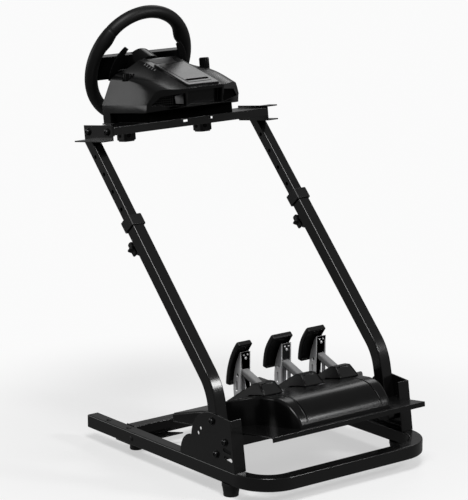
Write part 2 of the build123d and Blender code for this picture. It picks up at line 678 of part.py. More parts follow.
with BuildPart() as wheel_lid:
    spine_fall = math.degrees(math.atan2(SPINE_NOSE_TOP - SPINE_TOP, HOUSING_NOSE - SPINE_REAR))
    with BuildSketch(sloped_plane(nose_top.Y, nose_top.Z, DECK_TILT + spine_fall)):
        with Locations((0, -LID_CORNER - LID_LENGTH / 2)):
            RectangleRounded(LID_WIDTH, LID_LENGTH, LID_CORNER)
    extrude(amount=LID_THICK)
save(wheel_lid, "wheel_lid")

for side, hand in SIDES:
    clamp_x = side * (HOUSING_WIDTH / 2 - CLAMP_INSET)
    with BuildPart() as clamp_jaw:
        with BuildSketch(deck_plane.offset(DECK_LEVEL - SHEET)):
            with Locations((clamp_x, CLAMP_FRONT - CLAMP_LENGTH / 2)):
                RectangleRounded(CLAMP_WIDTH, CLAMP_LENGTH, CLAMP_CORNER)
        extrude(amount=-CLAMP_DROP)
    save(clamp_jaw, f"clamp_jaw_{hand}")

    with BuildPart() as clamp_knob:
        with BuildSketch(deck_plane.offset(housing_floor + CLAMP_SEAT_LEVEL)):
            with Locations((clamp_x, CLAMP_KNOB_Y)):
                Circle(CLAMP_KNOB_RADIUS)
        extrude(amount=CLAMP_KNOB_TOPS[hand] - CLAMP_SEAT_LEVEL)
    save(clamp_knob, f"clamp_knob_{hand}")

# Steering wheel: round rim, hub with two side spokes and a lower one, and shift paddles
rim_radius = RIM_DIAMETER / 2 - RIM_SECTION / 2
with BuildPart(rim_plane) as wheel_rim:
    Torus(rim_radius, RIM_SECTION / 2)
save(wheel_rim, "wheel_rim")

with BuildPart() as wheel_hub:
    with BuildSketch(rim_plane.offset(-HUB_BACK)):
        Circle(HUB_RADIUS)
    extrude(amount=HUB_BACK + HUB_FRONT)
    with BuildSketch(rim_plane.offset(-HUB_BACK)):
        Circle(SHAFT_RADIUS)
    extrude(amount=-SHAFT_LENGTH)
    with BuildSketch(rim_plane.offset(-SPOKE_THICK / 2)):
        Rectangle(2 * rim_radius, SPOKE_HEIGHT)
        with Locations((0, -rim_radius / 2)):
            Rectangle(LOWER_SPOKE_WIDTH, rim_radius)
    extrude(amount=SPOKE_THICK)
    with BuildSketch(Plane(origin=rim_centre, x_dir=(1, 0, 0), z_dir=(0, rim_axis.Z, -rim_axis.Y))):
        with Locations((rim_radius, 0)):
            Circle(RIM_SECTION / 2 + FIT_GAP / 5)
    revolve(axis=Axis(rim_centre, rim_axis), mode=Mode.SUBTRACT)
    for scrap in wheel_hub.solids().sort_by(SortBy.VOLUME)[:-1]:
        add(scrap, mode=Mode.SUBTRACT)
save(wheel_hub, "wheel_hub")

hinge_depth = -PADDLE_DEPTH - PADDLE_THICK / 2
paddle_inner = HUB_RADIUS + FIT_GAP
for side, hand in SIDES:
    with BuildPart() as paddle:
        with BuildSketch(rim_plane.offset(-PADDLE_DEPTH)):
            with Locations((side * (paddle_inner + PADDLE_REACH / 2), 0)):
                Rectangle(PADDLE_REACH, PADDLE_ROOT)
            with BuildLine():
                top_x, top_rise = side * (paddle_inner + PADDLE_TOP[0]), PADDLE_TOP[1]
                low_x, low_rise = side * (paddle_inner + PADDLE_BOTTOM[0]), PADDLE_BOTTOM[1]
                bow_x = (top_x + low_x) / 2 + side * PADDLE_BOW
                bow_rise = (top_rise + low_rise) / 2 + PADDLE_BOW / 2
                across = side * PADDLE_WIDTH
                outer = ThreePointArc((top_x, top_rise), (bow_x, bow_rise), (low_x, low_rise))
                foot = Line(outer @ 1, (low_x - across, low_rise))
                inner_bow = (bow_x - across, bow_rise - PADDLE_WIDTH / 2)
                inner = ThreePointArc(foot @ 1, inner_bow, (top_x - across / 2, top_rise - PADDLE_WIDTH / 3))
                Line(inner @ 1, outer @ 0)
            make_face()
        extrude(amount=-PADDLE_THICK)
        hinge_x = side * (paddle_inner + PADDLE_HINGE_RADIUS)
        hinge_at = rim_plane.from_local_coords((hinge_x, -PADDLE_ROOT / 2, hinge_depth))
        with BuildSketch(Plane(origin=hinge_at, x_dir=(1, 0, 0), z_dir=rim_plane.y_dir)):
            Circle(PADDLE_HINGE_RADIUS)
        extrude(amount=PADDLE_ROOT)
    save(paddle, f"paddle_{hand}")

# Pedal deck: folded sheet on a square carrier tube, with the pedal shell on top
with BuildPart() as pedal_carrier:
    with BuildSketch(pedal_side.offset(-plate_inner_x + SIDE_PLAY)):
        with Locations((-CARRIER_BACK, -SHEET - CARRIER_TUBE / 2)):
            tube_section(CARRIER_TUBE)
    extrude(amount=2 * (plate_inner_x - SIDE_PLAY))
save(pedal_carrier, "pedal_carrier")

with BuildPart() as pedal_deck:
    with BuildSketch(pedal_plane.offset(-SHEET)):
        with Locations((0, -PEDAL_DECK_LENGTH / 2)):
            Rectangle(PEDAL_DECK_WIDTH, PEDAL_DECK_LENGTH)
    extrude(amount=SHEET)
    with BuildSketch(pedal_side.offset(-PEDAL_DECK_WIDTH / 2)):
        with Locations((-SHEET / 2, -PEDAL_LIP / 2)):
            Rectangle(SHEET, PEDAL_LIP)
    extrude(amount=PEDAL_DECK_WIDTH)
save(pedal_deck, "pedal_deck")

pivot = Vector(0, PEDAL_PIVOT_Y, PEDAL_PIVOT_Z)
strut_start = pivot + Vector(0, *STRUT_START)
strut_plane = Plane(origin=strut_start, x_dir=(1, 0, 0), z_dir=strut_dir)
strut_hole = (STRUT_WIDTH + 2 * STRUT_PLAY, STRUT_DEPTH + 2 * STRUT_PLAY)
strut_reach = STRUT_LENGTH + STRUT_TRAVEL + STRUT_DEPTH / 2
slot_rear_y = PEDAL_PIVOT_Y - SLOT_REAR
slot_front_y = PEDAL_PIVOT_Y + SLOT_FRONT
slot_mid_y = (slot_rear_y + slot_front_y) / 2
slot_top = Plane.XY.offset(PEDAL_PIVOT_Z + BOOT_TOP)
pin_half = SLOT_WIDTH / 2 + PEDAL_PIN_SEAT
with BuildPart() as pedal_shell:
    with BuildSketch(pedal_plane):
        with BuildLine():
            half_heel = PEDAL_DECK_WIDTH / 2
            right_edge = [(x, -y) for x, y in SHELL_HALF_WIDTHS]
            right_edge += [(half_heel, -HEEL_FRONT[0]), (half_heel, -PEDAL_DECK_LENGTH)]
            left_edge = [(-x, y) for x, y in reversed(right_edge)]
            Polyline(*right_edge, *left_edge, close=True)
        make_face()
    extrude(amount=SHELL_TOP[1])
    with BuildSketch(pedal_side.offset(-half_heel)):
        with BuildLine():
            sill = (-SHELL_FRONT, SHELL_SILL)
            crest = (-SHELL_CREST[0], SHELL_CREST[1])
            Polyline(
                crest,
                (-SHELL_TOP[0], SHELL_TOP[1]),
                (-SHELL_REAR[0], SHELL_REAR[1]),
                (-HEEL_FRONT[0], HEEL_FRONT[1]),
                (-PEDAL_DECK_LENGTH, HEEL_HEIGHT),
                (-PEDAL_DECK_LENGTH, 0),
                (-SHELL_FRONT, 0),
                sill,
            )
            ThreePointArc(sill, (-SHELL_BROW[0], SHELL_BROW[1]), crest)
        make_face()
    extrude(amount=PEDAL_DECK_WIDTH, mode=Mode.INTERSECT)
    for name, arm_x, pad_x, pad_width, pad_foot in PEDALS:
        with BuildSketch(slot_top):
            with Locations((arm_x, slot_mid_y)):
                Rectangle(SLOT_WIDTH, slot_front_y - slot_rear_y)
        extrude(amount=-2 * BOOT_TOP, mode=Mode.SUBTRACT)
        with BuildSketch(Plane.YZ.offset(arm_x - pin_half - PEDAL_PIN_PLAY)):
            with Locations((PEDAL_PIVOT_Y, PEDAL_PIVOT_Z)):
                Circle(PEDAL_PIN_RADIUS + PEDAL_PIN_PLAY)
        extrude(amount=2 * (pin_half + PEDAL_PIN_PLAY), mode=Mode.SUBTRACT)
        with BuildSketch(strut_plane):
            with Locations((arm_x, 0)):
                Rectangle(*strut_hole)
        extrude(amount=strut_reach, mode=Mode.SUBTRACT)
save(pedal_shell, "pedal_shell")

# Pedals: bright channel arm, pad, pad bracket and the spring strut running into its boot
arm_front = ARM_DEPTH - ARM_REAR
for name, arm_x, pad_x, pad_width, pad_foot in PEDALS:
    arm_plane = Plane(origin=(arm_x, PEDAL_PIVOT_Y, PEDAL_PIVOT_Z), x_dir=(0, 1, 0), z_dir=(1, 0, 0))
    pad_plane = Plane(origin=(pad_x, PEDAL_PIVOT_Y, PEDAL_PIVOT_Z), x_dir=(0, 1, 0), z_dir=(1, 0, 0))
    with BuildPart() as boot:
        with BuildSketch(pedal_plane.offset(BOOT_FOOT)):
            with Locations((arm_x, -(BOOT_REAR + BOOT_FRONT) / 2)):
                Rectangle(BOOT_WIDTH, BOOT_REAR - BOOT_FRONT)
        with BuildSketch(pedal_plane.offset(BOOT_TOP)):
            with Locations((arm_x, -(BOOT_TOP_REAR + BOOT_TOP_FRONT) / 2)):
                Rectangle(BOOT_TOP_WIDTH, BOOT_TOP_REAR - BOOT_TOP_FRONT)
        loft()
        extrude(boot.faces().sort_by(Axis.Z)[0], amount=BOOT_FOOT)
        with BuildSketch(slot_top):
            with Locations((arm_x, slot_mid_y)):
                Rectangle(SLOT_WIDTH, slot_front_y - slot_rear_y)
        extrude(amount=-2 * BOOT_TOP, mode=Mode.SUBTRACT)
        with BuildSketch(strut_plane):
            with Locations((arm_x, 0)):
                Rectangle(*strut_hole)
        extrude(amount=strut_reach, mode=Mode.SUBTRACT)
        add(pedal_shell.part, mode=Mode.SUBTRACT)
        for scrap in boot.solids().sort_by(SortBy.VOLUME)[:-1]:
            add(scrap, mode=Mode.SUBTRACT)
    save(boot, f"{name}_boot")

    with BuildPart() as arm:
        with BuildSketch(arm_plane.offset(-ARM_WIDTH / 2)):
            with BuildLine():
                Polyline((-ARM_REAR, 0), (-ARM_REAR, ARM_HEIGHT), (arm_front, ARM_HEIGHT), (arm_front, 0))
                ThreePointArc((arm_front, 0), (0, -ARM_REAR), (-ARM_REAR, 0))
            make_face()
            with Locations(PAD_CENTRE):
                Circle(PAD_RADIUS - PAD_THICK, mode=Mode.INTERSECT)
        extrude(amount=ARM_WIDTH)
        with BuildSketch(arm_plane.offset(-ARM_WIDTH / 2 + ARM_SHEET)):
            with Locations(PAD_CENTRE):
                Circle(PAD_RADIUS - PAD_THICK - ARM_SHEET)
        extrude(amount=ARM_WIDTH - 2 * ARM_SHEET, mode=Mode.SUBTRACT)
        with BuildSketch(arm_plane.offset(-ARM_WIDTH / 2)):
            with Locations((ARM_SHEET, ARM_HOLE_RISE)):
                Circle(ARM_HOLE_RADIUS)
            with Locations((0, ARM_SLOT_RISE)):
                SlotOverall(ARM_SLOT_LENGTH, ARM_SLOT_WIDTH, rotation=90)
        extrude(amount=ARM_WIDTH, mode=Mode.SUBTRACT)
        with BuildSketch(arm_plane.offset(-pin_half)):
            Circle(PEDAL_PIN_RADIUS)
        extrude(amount=2 * pin_half)
    save(arm, f"{name}_arm")

    with BuildPart() as pad:
        with BuildSketch(pad_plane.offset(-pad_width / 2)):
            with Locations(PAD_CENTRE):
                Circle(PAD_RADIUS)
                Circle(PAD_RADIUS - PAD_THICK, mode=Mode.SUBTRACT)
            with Locations((PAD_CENTRE[0] - PAD_RADIUS, pad_foot)):
                Rectangle(PAD_RADIUS, PAD_TOP - pad_foot, align=(Align.MIN, Align.MIN), mode=Mode.INTERSECT)
        extrude(amount=pad_width)
    save(pad, f"{name}_pad")

    with BuildPart() as pad_bracket:
        with BuildSketch(arm_plane.offset(-ARM_WIDTH / 2 + ARM_SHEET)):
            with Locations((-ARM_REAR, BRACKET_BOTTOM)):
                Rectangle(ARM_DEPTH, ARM_HEIGHT - BRACKET_BOTTOM, align=(Align.MIN, Align.MIN))
            with Locations(PAD_CENTRE):
                Circle(PAD_RADIUS - PAD_THICK - ARM_SHEET, mode=Mode.INTERSECT)
        extrude(amount=ARM_WIDTH - 2 * ARM_SHEET)
    save(pad_bracket, f"{name}_bracket")

    with BuildPart() as strut:
        with BuildSketch(strut_plane):
            with Locations((arm_x, 0)):
                RectangleRounded(STRUT_WIDTH, STRUT_DEPTH, STRUT_DEPTH / 4)
        extrude(amount=STRUT_LENGTH)
    save(strut, f"{name}_strut")
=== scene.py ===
import json
import math

import bmesh
import bpy
from mathutils import Matrix, Vector
from mathutils.bvhtree import BVHTree


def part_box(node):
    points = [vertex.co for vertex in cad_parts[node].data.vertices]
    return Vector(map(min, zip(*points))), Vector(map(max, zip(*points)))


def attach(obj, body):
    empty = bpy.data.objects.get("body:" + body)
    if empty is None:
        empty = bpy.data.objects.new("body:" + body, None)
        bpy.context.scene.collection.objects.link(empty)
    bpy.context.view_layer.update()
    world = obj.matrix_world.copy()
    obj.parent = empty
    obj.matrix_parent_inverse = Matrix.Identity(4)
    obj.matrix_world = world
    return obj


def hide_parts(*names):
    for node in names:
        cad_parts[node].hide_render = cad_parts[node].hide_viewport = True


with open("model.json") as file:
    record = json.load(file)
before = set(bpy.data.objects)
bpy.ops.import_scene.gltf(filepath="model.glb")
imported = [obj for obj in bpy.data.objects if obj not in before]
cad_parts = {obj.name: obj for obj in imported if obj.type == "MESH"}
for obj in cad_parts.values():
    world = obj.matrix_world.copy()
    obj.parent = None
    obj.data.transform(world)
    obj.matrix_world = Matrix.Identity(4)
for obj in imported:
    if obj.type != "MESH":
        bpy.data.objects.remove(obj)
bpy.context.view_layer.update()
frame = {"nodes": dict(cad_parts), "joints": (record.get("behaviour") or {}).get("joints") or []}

# Base frame: one bent 30 mm square steel tube with a cross tube and two gussets welded on,
# powder-coated satin black. Plastic plugs snap into the drilled holes and the open leg ends.
mm = 0.001
hands = ((1, "right"), (-1, "left"))


def pair(piece):
    """The names of a right and a left CAD node."""
    return [f"{piece}_{hand}" for side, hand in hands]


def corners(node):
    """The low and high corners of a CAD node's box, in millimetres."""
    return [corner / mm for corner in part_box(node)]


def surface_grain():
    """Shared effect: fine moulded or sprayed grain as a normal, and a slow mottling value."""
    group = bpy.data.node_groups.new("surface_grain", "ShaderNodeTree")
    for name, kind, side, value in (
        ("Scale", "NodeSocketFloat", "INPUT", 900.0),
        ("Depth", "NodeSocketFloat", "INPUT", 0.2),
        ("Normal", "NodeSocketVector", "OUTPUT", None),
        ("Tone", "NodeSocketFloat", "OUTPUT", None),
    ):
        socket = group.interface.new_socket(name, in_out=side, socket_type=kind)
        if value is not None:
            socket.default_value = value
    nodes, links = group.nodes, group.links
    inlet, outlet = nodes.new("NodeGroupInput"), nodes.new("NodeGroupOutput")
    place = nodes.new("ShaderNodeTexCoord")
    fine, slow = nodes.new("ShaderNodeTexNoise"), nodes.new("ShaderNodeTexNoise")
    bump = nodes.new("ShaderNodeBump")
    fine.inputs["Detail"].default_value = 3.0
    slow.inputs["Scale"].default_value = 14.0
    slow.inputs["Detail"].default_value = 4.0
    bump.inputs["Distance"].default_value = 0.0004
    links.new(place.outputs["Object"], fine.inputs["Vector"])
    links.new(place.outputs["Object"], slow.inputs["Vector"])
    links.new(inlet.outputs["Scale"], fine.inputs["Scale"])
    links.new(inlet.outputs["Depth"], bump.inputs["Strength"])
    links.new(fine.outputs["Fac"], bump.inputs["Height"])
    links.new(bump.outputs["Normal"], outlet.inputs["Normal"])
    links.new(slow.outputs["Fac"], outlet.inputs["Tone"])
    return group


grain_group = surface_grain()


def finish_material(name, grey, rough, grain, metallic=0.0, shine=0.5):
    """A mottled surface: grey and roughness as (low, high) of a slow tone, and grain as (scale, depth)."""
    dark, light = grey
    blue_cast = 1.02
    material = bpy.data.materials.new(name)
    material.use_nodes = True
    nodes, links = material.node_tree.nodes, material.node_tree.links
    shader = nodes["Principled BSDF"]
    surface = nodes.new("ShaderNodeGroup")
    surface.node_tree = grain_group
    surface.inputs["Scale"].default_value, surface.inputs["Depth"].default_value = grain
    tint, dull = nodes.new("ShaderNodeMix"), nodes.new("ShaderNodeMapRange")
    tint.data_type = "RGBA"
    tint.inputs["A"].default_value = (dark, dark, dark, 1)
    tint.inputs["B"].default_value = (light, light, light * blue_cast, 1)
    dull.inputs["To Min"].default_value, dull.inputs["To Max"].default_value = rough
    links.new(surface.outputs["Tone"], tint.inputs["Factor"])
    links.new(surface.outputs["Tone"], dull.inputs["Value"])
    links.new(tint.outputs["Result"], shader.inputs["Base Color"])
    links.new(dull.outputs["Result"], shader.inputs["Roughness"])
    links.new(surface.outputs["Normal"], shader.inputs["Normal"])
    shader.inputs["Metallic"].default_value = metallic
    shader.inputs["Specular IOR Level"].default_value = shine
    return material


def coat(material, slot, *nodes):
    """Gives CAD nodes their finish."""
    for name in nodes:
        mesh = frame["nodes"][name].data
        mesh.materials.clear()
        mesh.materials.append(material)


def soften(width, *nodes, angle=30, merge=True):
    """Rounds the sharp edges of CAD nodes, in millimetres; merge makes each flat side one face first."""
    for name in nodes:
        piece = frame["nodes"][name]
        if "custom_normal" in piece.data.attributes:
            piece.data.attributes.remove(piece.data.attributes["custom_normal"])
        piece.data.shade_smooth()
        weld = piece.modifiers.new("weld", "WELD")
        weld.merge_threshold = 0.01 * mm
        if merge:
            flat = piece.modifiers.new("flat", "DECIMATE")
            flat.decimate_type, flat.angle_limit = "DISSOLVE", math.radians(0.5)
        edge = piece.modifiers.new("edge", "BEVEL")
        edge.width, edge.segments = width * mm, 3
        edge.limit_method, edge.angle_limit = "ANGLE", math.radians(angle)
        edge.use_clamp_overlap = False
        edge.harden_normals = True


def solid(name, shape, material, body, place=Matrix(), stands_for=(), bevel=0.0, smooth=35):
    """One piece from (vertices, faces) in millimetres of its own frame, riding on a body."""
    vertices, faces = shape
    crease = math.radians(smooth)
    mesh = bpy.data.meshes.new(name)
    mesh.from_pydata([(place @ Vector(v)) * mm for v in vertices], [], faces)
    work = bmesh.new()
    work.from_mesh(mesh)
    bmesh.ops.remove_doubles(work, verts=work.verts, dist=0.001 * mm)
    bmesh.ops.recalc_face_normals(work, faces=work.faces)
    if bevel:
        sharp = [e for e in work.edges if e.is_manifold and e.calc_face_angle(0) > crease]
        bmesh.ops.bevel(work, geom=sharp, offset=bevel * mm, segments=3, profile=0.5,
                        affect="EDGES", clamp_overlap=True)
    work.to_mesh(mesh)
    work.free()
    mesh.materials.append(material)
    mesh.shade_smooth()
    mesh.set_sharp_from_angle(angle=crease)
    piece = bpy.data.objects.new(name, mesh)
    bpy.context.scene.collection.objects.link(piece)
    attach(piece, body)
    if stands_for:
        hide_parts(*stands_for)


def skin(loops):
    """Rings of equally many points joined into a closed shape, capped at both ends."""
    count = len(loops[0])
    vertices = [point for loop in loops for point in loop]
    faces = []
    for start in range(0, len(vertices) - count, count):
        for k in range(count):
            here, after = start + k, start + (k + 1) % count
            faces.append((here, after, after + count, here + count))
    faces.append(tuple(range(count)))
    faces.append(tuple(range(len(vertices) - count, len(vertices))))
    return vertices, faces


def lathe(profile, steps=32):
    """(radius, height) pairs turned about the local z axis."""
    turns = [2 * math.pi * k / steps for k in range(steps)]
    return skin([[(r * math.cos(a), r * math.sin(a), h) for a in turns] for r, h in profile])


def joined(*shapes):
    """Several (vertices, faces) as one."""
    vertices, faces = [], []
    for v, f in shapes:
        faces += [tuple(i + len(vertices) for i in face) for face in f]
        vertices += list(v)
    return vertices, faces


def moved(shape, place):
    """A shape carried by a matrix."""
    return [tuple(place @ Vector(v)) for v in shape[0]], shape[1]


def facing(origin, out, across=(1, 0, 0)):
    """A frame at origin whose z axis points along out and whose x axis leans to across."""
    z = Vector(out).normalized()
    x = (Vector(across) - z * Vector(across).dot(z)).normalized()
    y = z.cross(x)
    turn = Matrix((x, y, z)).transposed().to_4x4()
    return Matrix.Translation(origin) @ turn


paint = finish_material("powder_coat", (0.003, 0.005), (0.14, 0.22), (1500, 0.05), shine=0.4)
plastic = finish_material("black_plastic", (0.003, 0.005), (0.34, 0.46), (2200, 0.12), shine=0.3)
coat(paint, "frame_paint", "base_tube", "cross_tube", *pair("gusset"))
coat(plastic, "black_plastic", *pair("leg_cap"))
soften(0.8, "cross_tube", *pair("gusset"))
soften(1.5, *pair("leg_cap"))
base_low, base_high = corners("base_tube")
tube = base_high.z - base_low.z
leg_x, leg_middle = base_high.x - tube / 2, base_low.z + tube / 2
plug = lathe([(0.1, 2.2), (3.5, 2.0), (5.5, 1.2), (6.5, 0.2), (6.5, -1)])
top_holes, side_hole = (-154, -77), -47
for side, hand in hands:
    plugs = [moved(plug, facing((side * leg_x, y, base_high.z), (0, 0, 1))) for y in top_holes]
    plugs.append(moved(plug, facing((side * base_high.x, side_hole, leg_middle), (side, 0, 0), (0, 1, 0))))
    solid(f"leg_plugs_{hand}", joined(*plugs), plastic, "base")

# Weld seams: rows of small steel beads up both sides and along the top of the cross tube,
# where its ends are welded to the legs, painted over with the frame.
bead = lathe([(0.3, -1.8), (1.6, -1.2), (2.1, 0), (1.6, 1.2), (0.3, 1.8)], 10)
bead_count, bead_margin = 9, 3
bead_steps = [bead_margin + k * (tube - 2 * bead_margin) / (bead_count - 1) for k in range(bead_count)]
side_lean, side_sink = (0, 0.3, 1), 0.4
top_lean, top_sink = (0, 1, 0.2), 0.3
cross_low, cross_high = corners("cross_tube")
for side, hand in hands:
    weld_x = side * (base_high.x - tube)
    spots = [((weld_x - side * side_sink, y, cross_low.z + step), side_lean)
             for y in (cross_low.y, cross_high.y) for step in bead_steps]
    spots += [((weld_x - side * top_sink, cross_low.y + step, cross_high.z - top_sink), top_lean)
              for step in bead_steps]
    beads = [moved(bead, facing(spot, lean)) for spot, lean in spots]
    solid(f"weld_beads_{hand}", joined(*beads), paint, "base")

# Feet: four turned rubber buffers, each held by a screw up into the frame. The front pair sits
# under the legs and flares out at the top, and the rear pair sits under the gussets.
rubber = finish_material("foot_rubber", (0.004, 0.008), (0.55, 0.7), (1200, 0.3))
for side, hand in hands:
    for end, flare in (("front", 3), ("rear", 0)):
        low, high = corners(f"{end}_foot_{hand}")
        radius, height = (high.x - low.x) / 2, high.z
        brim = radius + flare
        foot = lathe([(radius - 3, 0.02), (radius - 1, 0.6), (radius - 0.3, 3), (radius - 0.6, 5),
                      (brim - 1, height - 8), (brim, height - 6), (brim, height - 0.1)], 40)
        place = Matrix.Translation(((low.x + high.x) / 2, (low.y + high.y) / 2, 0))
        solid(f"foot_{end}_{hand}", foot, rubber, "base", place, (f"{end}_foot_{hand}",))

# Side plates: 3 mm laser-cut sheet with a folded front flange, welded on the legs.
# Blackened button-head bolts on washers carry the uprights and the pedal deck.


def joint(name):
    """A joint's place in millimetres and its axis."""
    record = next(j for j in frame["joints"] if j["name"] == name)
    return Vector(record["pos_m"]) / mm, Vector(record["axis"])


coat(paint, "frame_paint", *pair("side_plate"))
soften(0.7, *pair("side_plate"))
bolt_steel = finish_material("blackened_steel", (0.02, 0.05), (0.2, 0.32), (600, 0.1), metallic=1.0)
bolt = lathe([(4, -1), (9, -1), (9.2, 0.5), (9.2, 1.3), (8.8, 1.7), (6.9, 1.7), (7, 2), (7, 3.8), (6.3, 5.2),
              (5, 5.9), (3.6, 6.1), (3.4, 4.6), (0.1, 4.5)])
fold_bolt, pedal_bolt = joint("uprights_fold")[0], joint("pedal_tilt")[0]
lock_reach, lock_turn = 71, math.radians(12)
lock_bolt = fold_bolt + lock_reach * Vector((0, -math.sin(lock_turn), math.cos(lock_turn)))
plate_outer = corners("side_plate_right")[1].x
for side, hand in hands:
    bolts = [moved(bolt, facing((side * plate_outer, *spot.yz), (side, 0, 0), (0, 1, 0)))
             for spot in (fold_bolt, lock_bolt, pedal_bolt)]
    solid(f"side_bolts_{hand}", joined(*bolts), bolt_steel, "base")

# Uprights: kneed lower tubes of 30 mm steel with plastic collars at their mouths. The upper tubes
# telescope in them on a row of height holes, held by plastic star knobs in welded nuts.


def lobed(lobes, radius, dip, profile, steps=72):
    """A lobed or ribbed knob: (scale, height) rings about the local z axis, dipping between the lobes."""
    fullness = 0.8
    turns = [2 * math.pi * k / steps for k in range(steps)]
    reach = [radius - dip * (0.5 - 0.5 * math.cos(lobes * a)) ** fullness for a in turns]
    return skin([[(scale * r * math.cos(a), scale * r * math.sin(a), height) for r, a in zip(reach, turns)]
                 for scale, height in profile])


coat(paint, "frame_paint", *pair("lower_upright"), *pair("upper_upright"))
coat(plastic, "black_plastic", *pair("collar"))
soften(1.2, *pair("collar"))
star = lobed(6, 19, 6, [(0.4, 24.6), (0.82, 25), (0.96, 27), (1, 30), (1, 36), (0.95, 39), (0.8, 40.8),
                        (0.3, 41.2)])
stem = lathe([(3.9, 13), (3.9, 25.5)], 20)
nut = lobed(6, 11, 1.6, [(1, 11), (1, 17), (0.8, 18.5)], 36)
for side, hand in hands:
    knob = f"height_knob_{hand}"
    place = facing(*joint(f"lock_{hand}"))
    solid(f"star_knob_{hand}", joined(star, stem), plastic, knob, place, (knob,))
    solid(f"knob_nut_{hand}", nut, paint, "uprights", place)

# Wheel deck: folded 3 mm steel sheet between two slotted angle brackets welded on the upper tubes,
# with a bolt through each bracket's pivot hole and slot.
coat(paint, "frame_paint", *pair("deck_bracket"), "deck_plate")
soften(0.7, *pair("deck_bracket"), "deck_plate")
deck_turn, leaf_outer, slot_back = math.radians(7.5), 221.5, -74
deck = Matrix.Translation(joint("deck_tilt")[0]) @ Matrix.Rotation(deck_turn, 4, "X")
for side, hand in hands:
    bolts = [moved(bolt, facing(deck @ Vector((side * leaf_outer, y, 0)), (side, 0, 0), (0, 1, 0)))
             for y in (0, slot_back)]
    solid(f"deck_bolts_{hand}", joined(*bolts), bolt_steel, "wheel_deck")

# Wheel housing: a satin black injection moulding that stands on the deck and carries the wheel
# on its column stub. Under its floor stands a near-black block of painted shade for the dark recess there.


def rounded_outline(width, length, corner, centre=(0, 0), steps=6, side_steps=1):
    """A rectangle with round corners, as points in the local xy plane, each side cut in side_steps."""
    arcs = []
    for k, (sx, sy) in enumerate(((1, 1), (-1, 1), (-1, -1), (1, -1))):
        x, y = centre[0] + sx * (width / 2 - corner), centre[1] + sy * (length / 2 - corner)
        turns = [math.radians(90 * k + 90 * i / steps) for i in range(steps + 1)]
        arcs.append([(x + corner * math.cos(a), y + corner * math.sin(a)) for a in turns])
    points = []
    for arc, following in zip(arcs, arcs[1:] + arcs[:1]):
        (x, y), (end_x, end_y) = arc[-1], following[0]
        cuts = [i / side_steps for i in range(1, side_steps)]
        points += arc + [(x + (end_x - x) * t, y + (end_y - y) * t) for t in cuts]
    return points


def shrunk(outline, middle, scale):
    """An outline drawn in towards a middle point."""
    return [(middle[0] + (x - middle[0]) * scale, middle[1] + (y - middle[1]) * scale) for x, y in outline]


def slab(outline, low, high, ease):
    """A plate over an outline, its upper edge eased."""
    middle = [sum(p[i] for p in outline) / len(outline) for i in (0, 1)]
    reach = max(math.dist(p, middle) for p in outline)
    edge = ((0, low), (0, high - ease), (ease * 0.3, high - ease * 0.3), (ease, high), (ease + 1, high))
    return skin([[(x, y, height) for x, y in shrunk(outline, middle, 1 - inset / reach)]
                 for inset, height in edge])


moulded = finish_material("moulded_plastic", (0.002, 0.004), (0.18, 0.27), (2600, 0.08), shine=0.22)
coat(moulded, "housing_plastic", "wheel_housing")
soften(1.0, "wheel_housing", angle=50, merge=False)
# A near-black matt finish used only for painted shade: dark pieces set where there is only shade.
shade_black = finish_material("painted_shade_black", (0.001, 0.002), (0.8, 0.95), (900, 0.3), shine=0.02)
belly_low, belly_high = 10.5, 34.4
belly = slab(rounded_outline(238, 162, 4, (0, -61.5)), belly_low, belly_high, 0.2)
# The block under the housing floor is painted shade, standing for the dark recess under it.
solid("belly_painted_shade", belly, shade_black, "wheel_deck", deck)

# Shoulders: the moulded skin on each side of the housing, hollowed between a ridge and the spine
# and cut off by the slanted cheek of the nose, with a round seat sunk in it for the clamp screw.
nose_half, nose_y, nose_z, nose_lean = 52, 80, 81, 0.19
cheek_run, cheek_back = 78, 43
spine_half, spine_rear, spine_top = 52, -94, 147
side_x, side_z, turn_y = 130, 50, -27


def bored(shape, centre, radius, floor):
    """The shape with a round hole down to a floor height."""
    drill_length = 80
    drill = lathe([(radius, floor), (radius, floor + drill_length)], 48)
    blanks = []
    for vertices, faces in (shape, moved(drill, Matrix.Translation((*centre, 0)))):
        mesh = bpy.data.meshes.new("blank")
        mesh.from_pydata([tuple(v) for v in vertices], [], faces)
        work = bmesh.new()
        work.from_mesh(mesh)
        bmesh.ops.recalc_face_normals(work, faces=work.faces)
        work.to_mesh(mesh)
        work.free()
        blanks.append(bpy.data.objects.new("blank", mesh))
        bpy.context.scene.collection.objects.link(blanks[-1])
    hole = blanks[0].modifiers.new("hole", "BOOLEAN")
    hole.operation, hole.solver = "DIFFERENCE", "EXACT"
    hole.object = blanks[1]
    drilled = blanks[0].evaluated_get(bpy.context.evaluated_depsgraph_get()).to_mesh()
    result = [v.co.copy() for v in drilled.vertices], [tuple(f.vertices) for f in drilled.polygons]
    for blank in blanks:
        bpy.data.meshes.remove(blank.data)
    return result


def curved(start, control, end, t):
    """A point on the curve from start to end that leans to a control point."""
    return start.lerp(control, t).lerp(control.lerp(end, t), t)


def flank_section(foot, ridge, crest):
    """Points round one shoulder: up the side, over the ridge, up to the spine and back inside."""
    foot, ridge, crest = Vector(foot), Vector(ridge), Vector(crest)
    overlap, wall = Vector((0.5, 0, 0.5)), Vector((4, 0, 0))
    ridge_swell, side_turn, top_turn, hollow = 3.6, 10, 18, 0.16
    low = foot + overlap
    inward = ((foot - ridge).normalized() + (crest - ridge).normalized()).normalized()
    corner = ridge - inward * ridge_swell
    first = corner + (low - corner).normalized() * side_turn
    last = corner + (crest - corner).normalized() * top_turn
    valley = last.lerp(crest, 0.5) - Vector((0, 0, hollow * (crest.z - ridge.z)))
    outer_side = [low.lerp(first, k / 5) for k in range(5)]
    turn = [curved(first, corner, last, k / 8) for k in range(9)]
    climb = [curved(last, valley, crest, k / 8) for k in range(1, 9)]
    inside = [crest + Vector((-4, 0, -7)), ridge + Vector((-14, 0, -9))]
    inside += [ridge.lerp(foot, 0.4) - wall, low - wall]
    return outer_side + turn + climb + inside


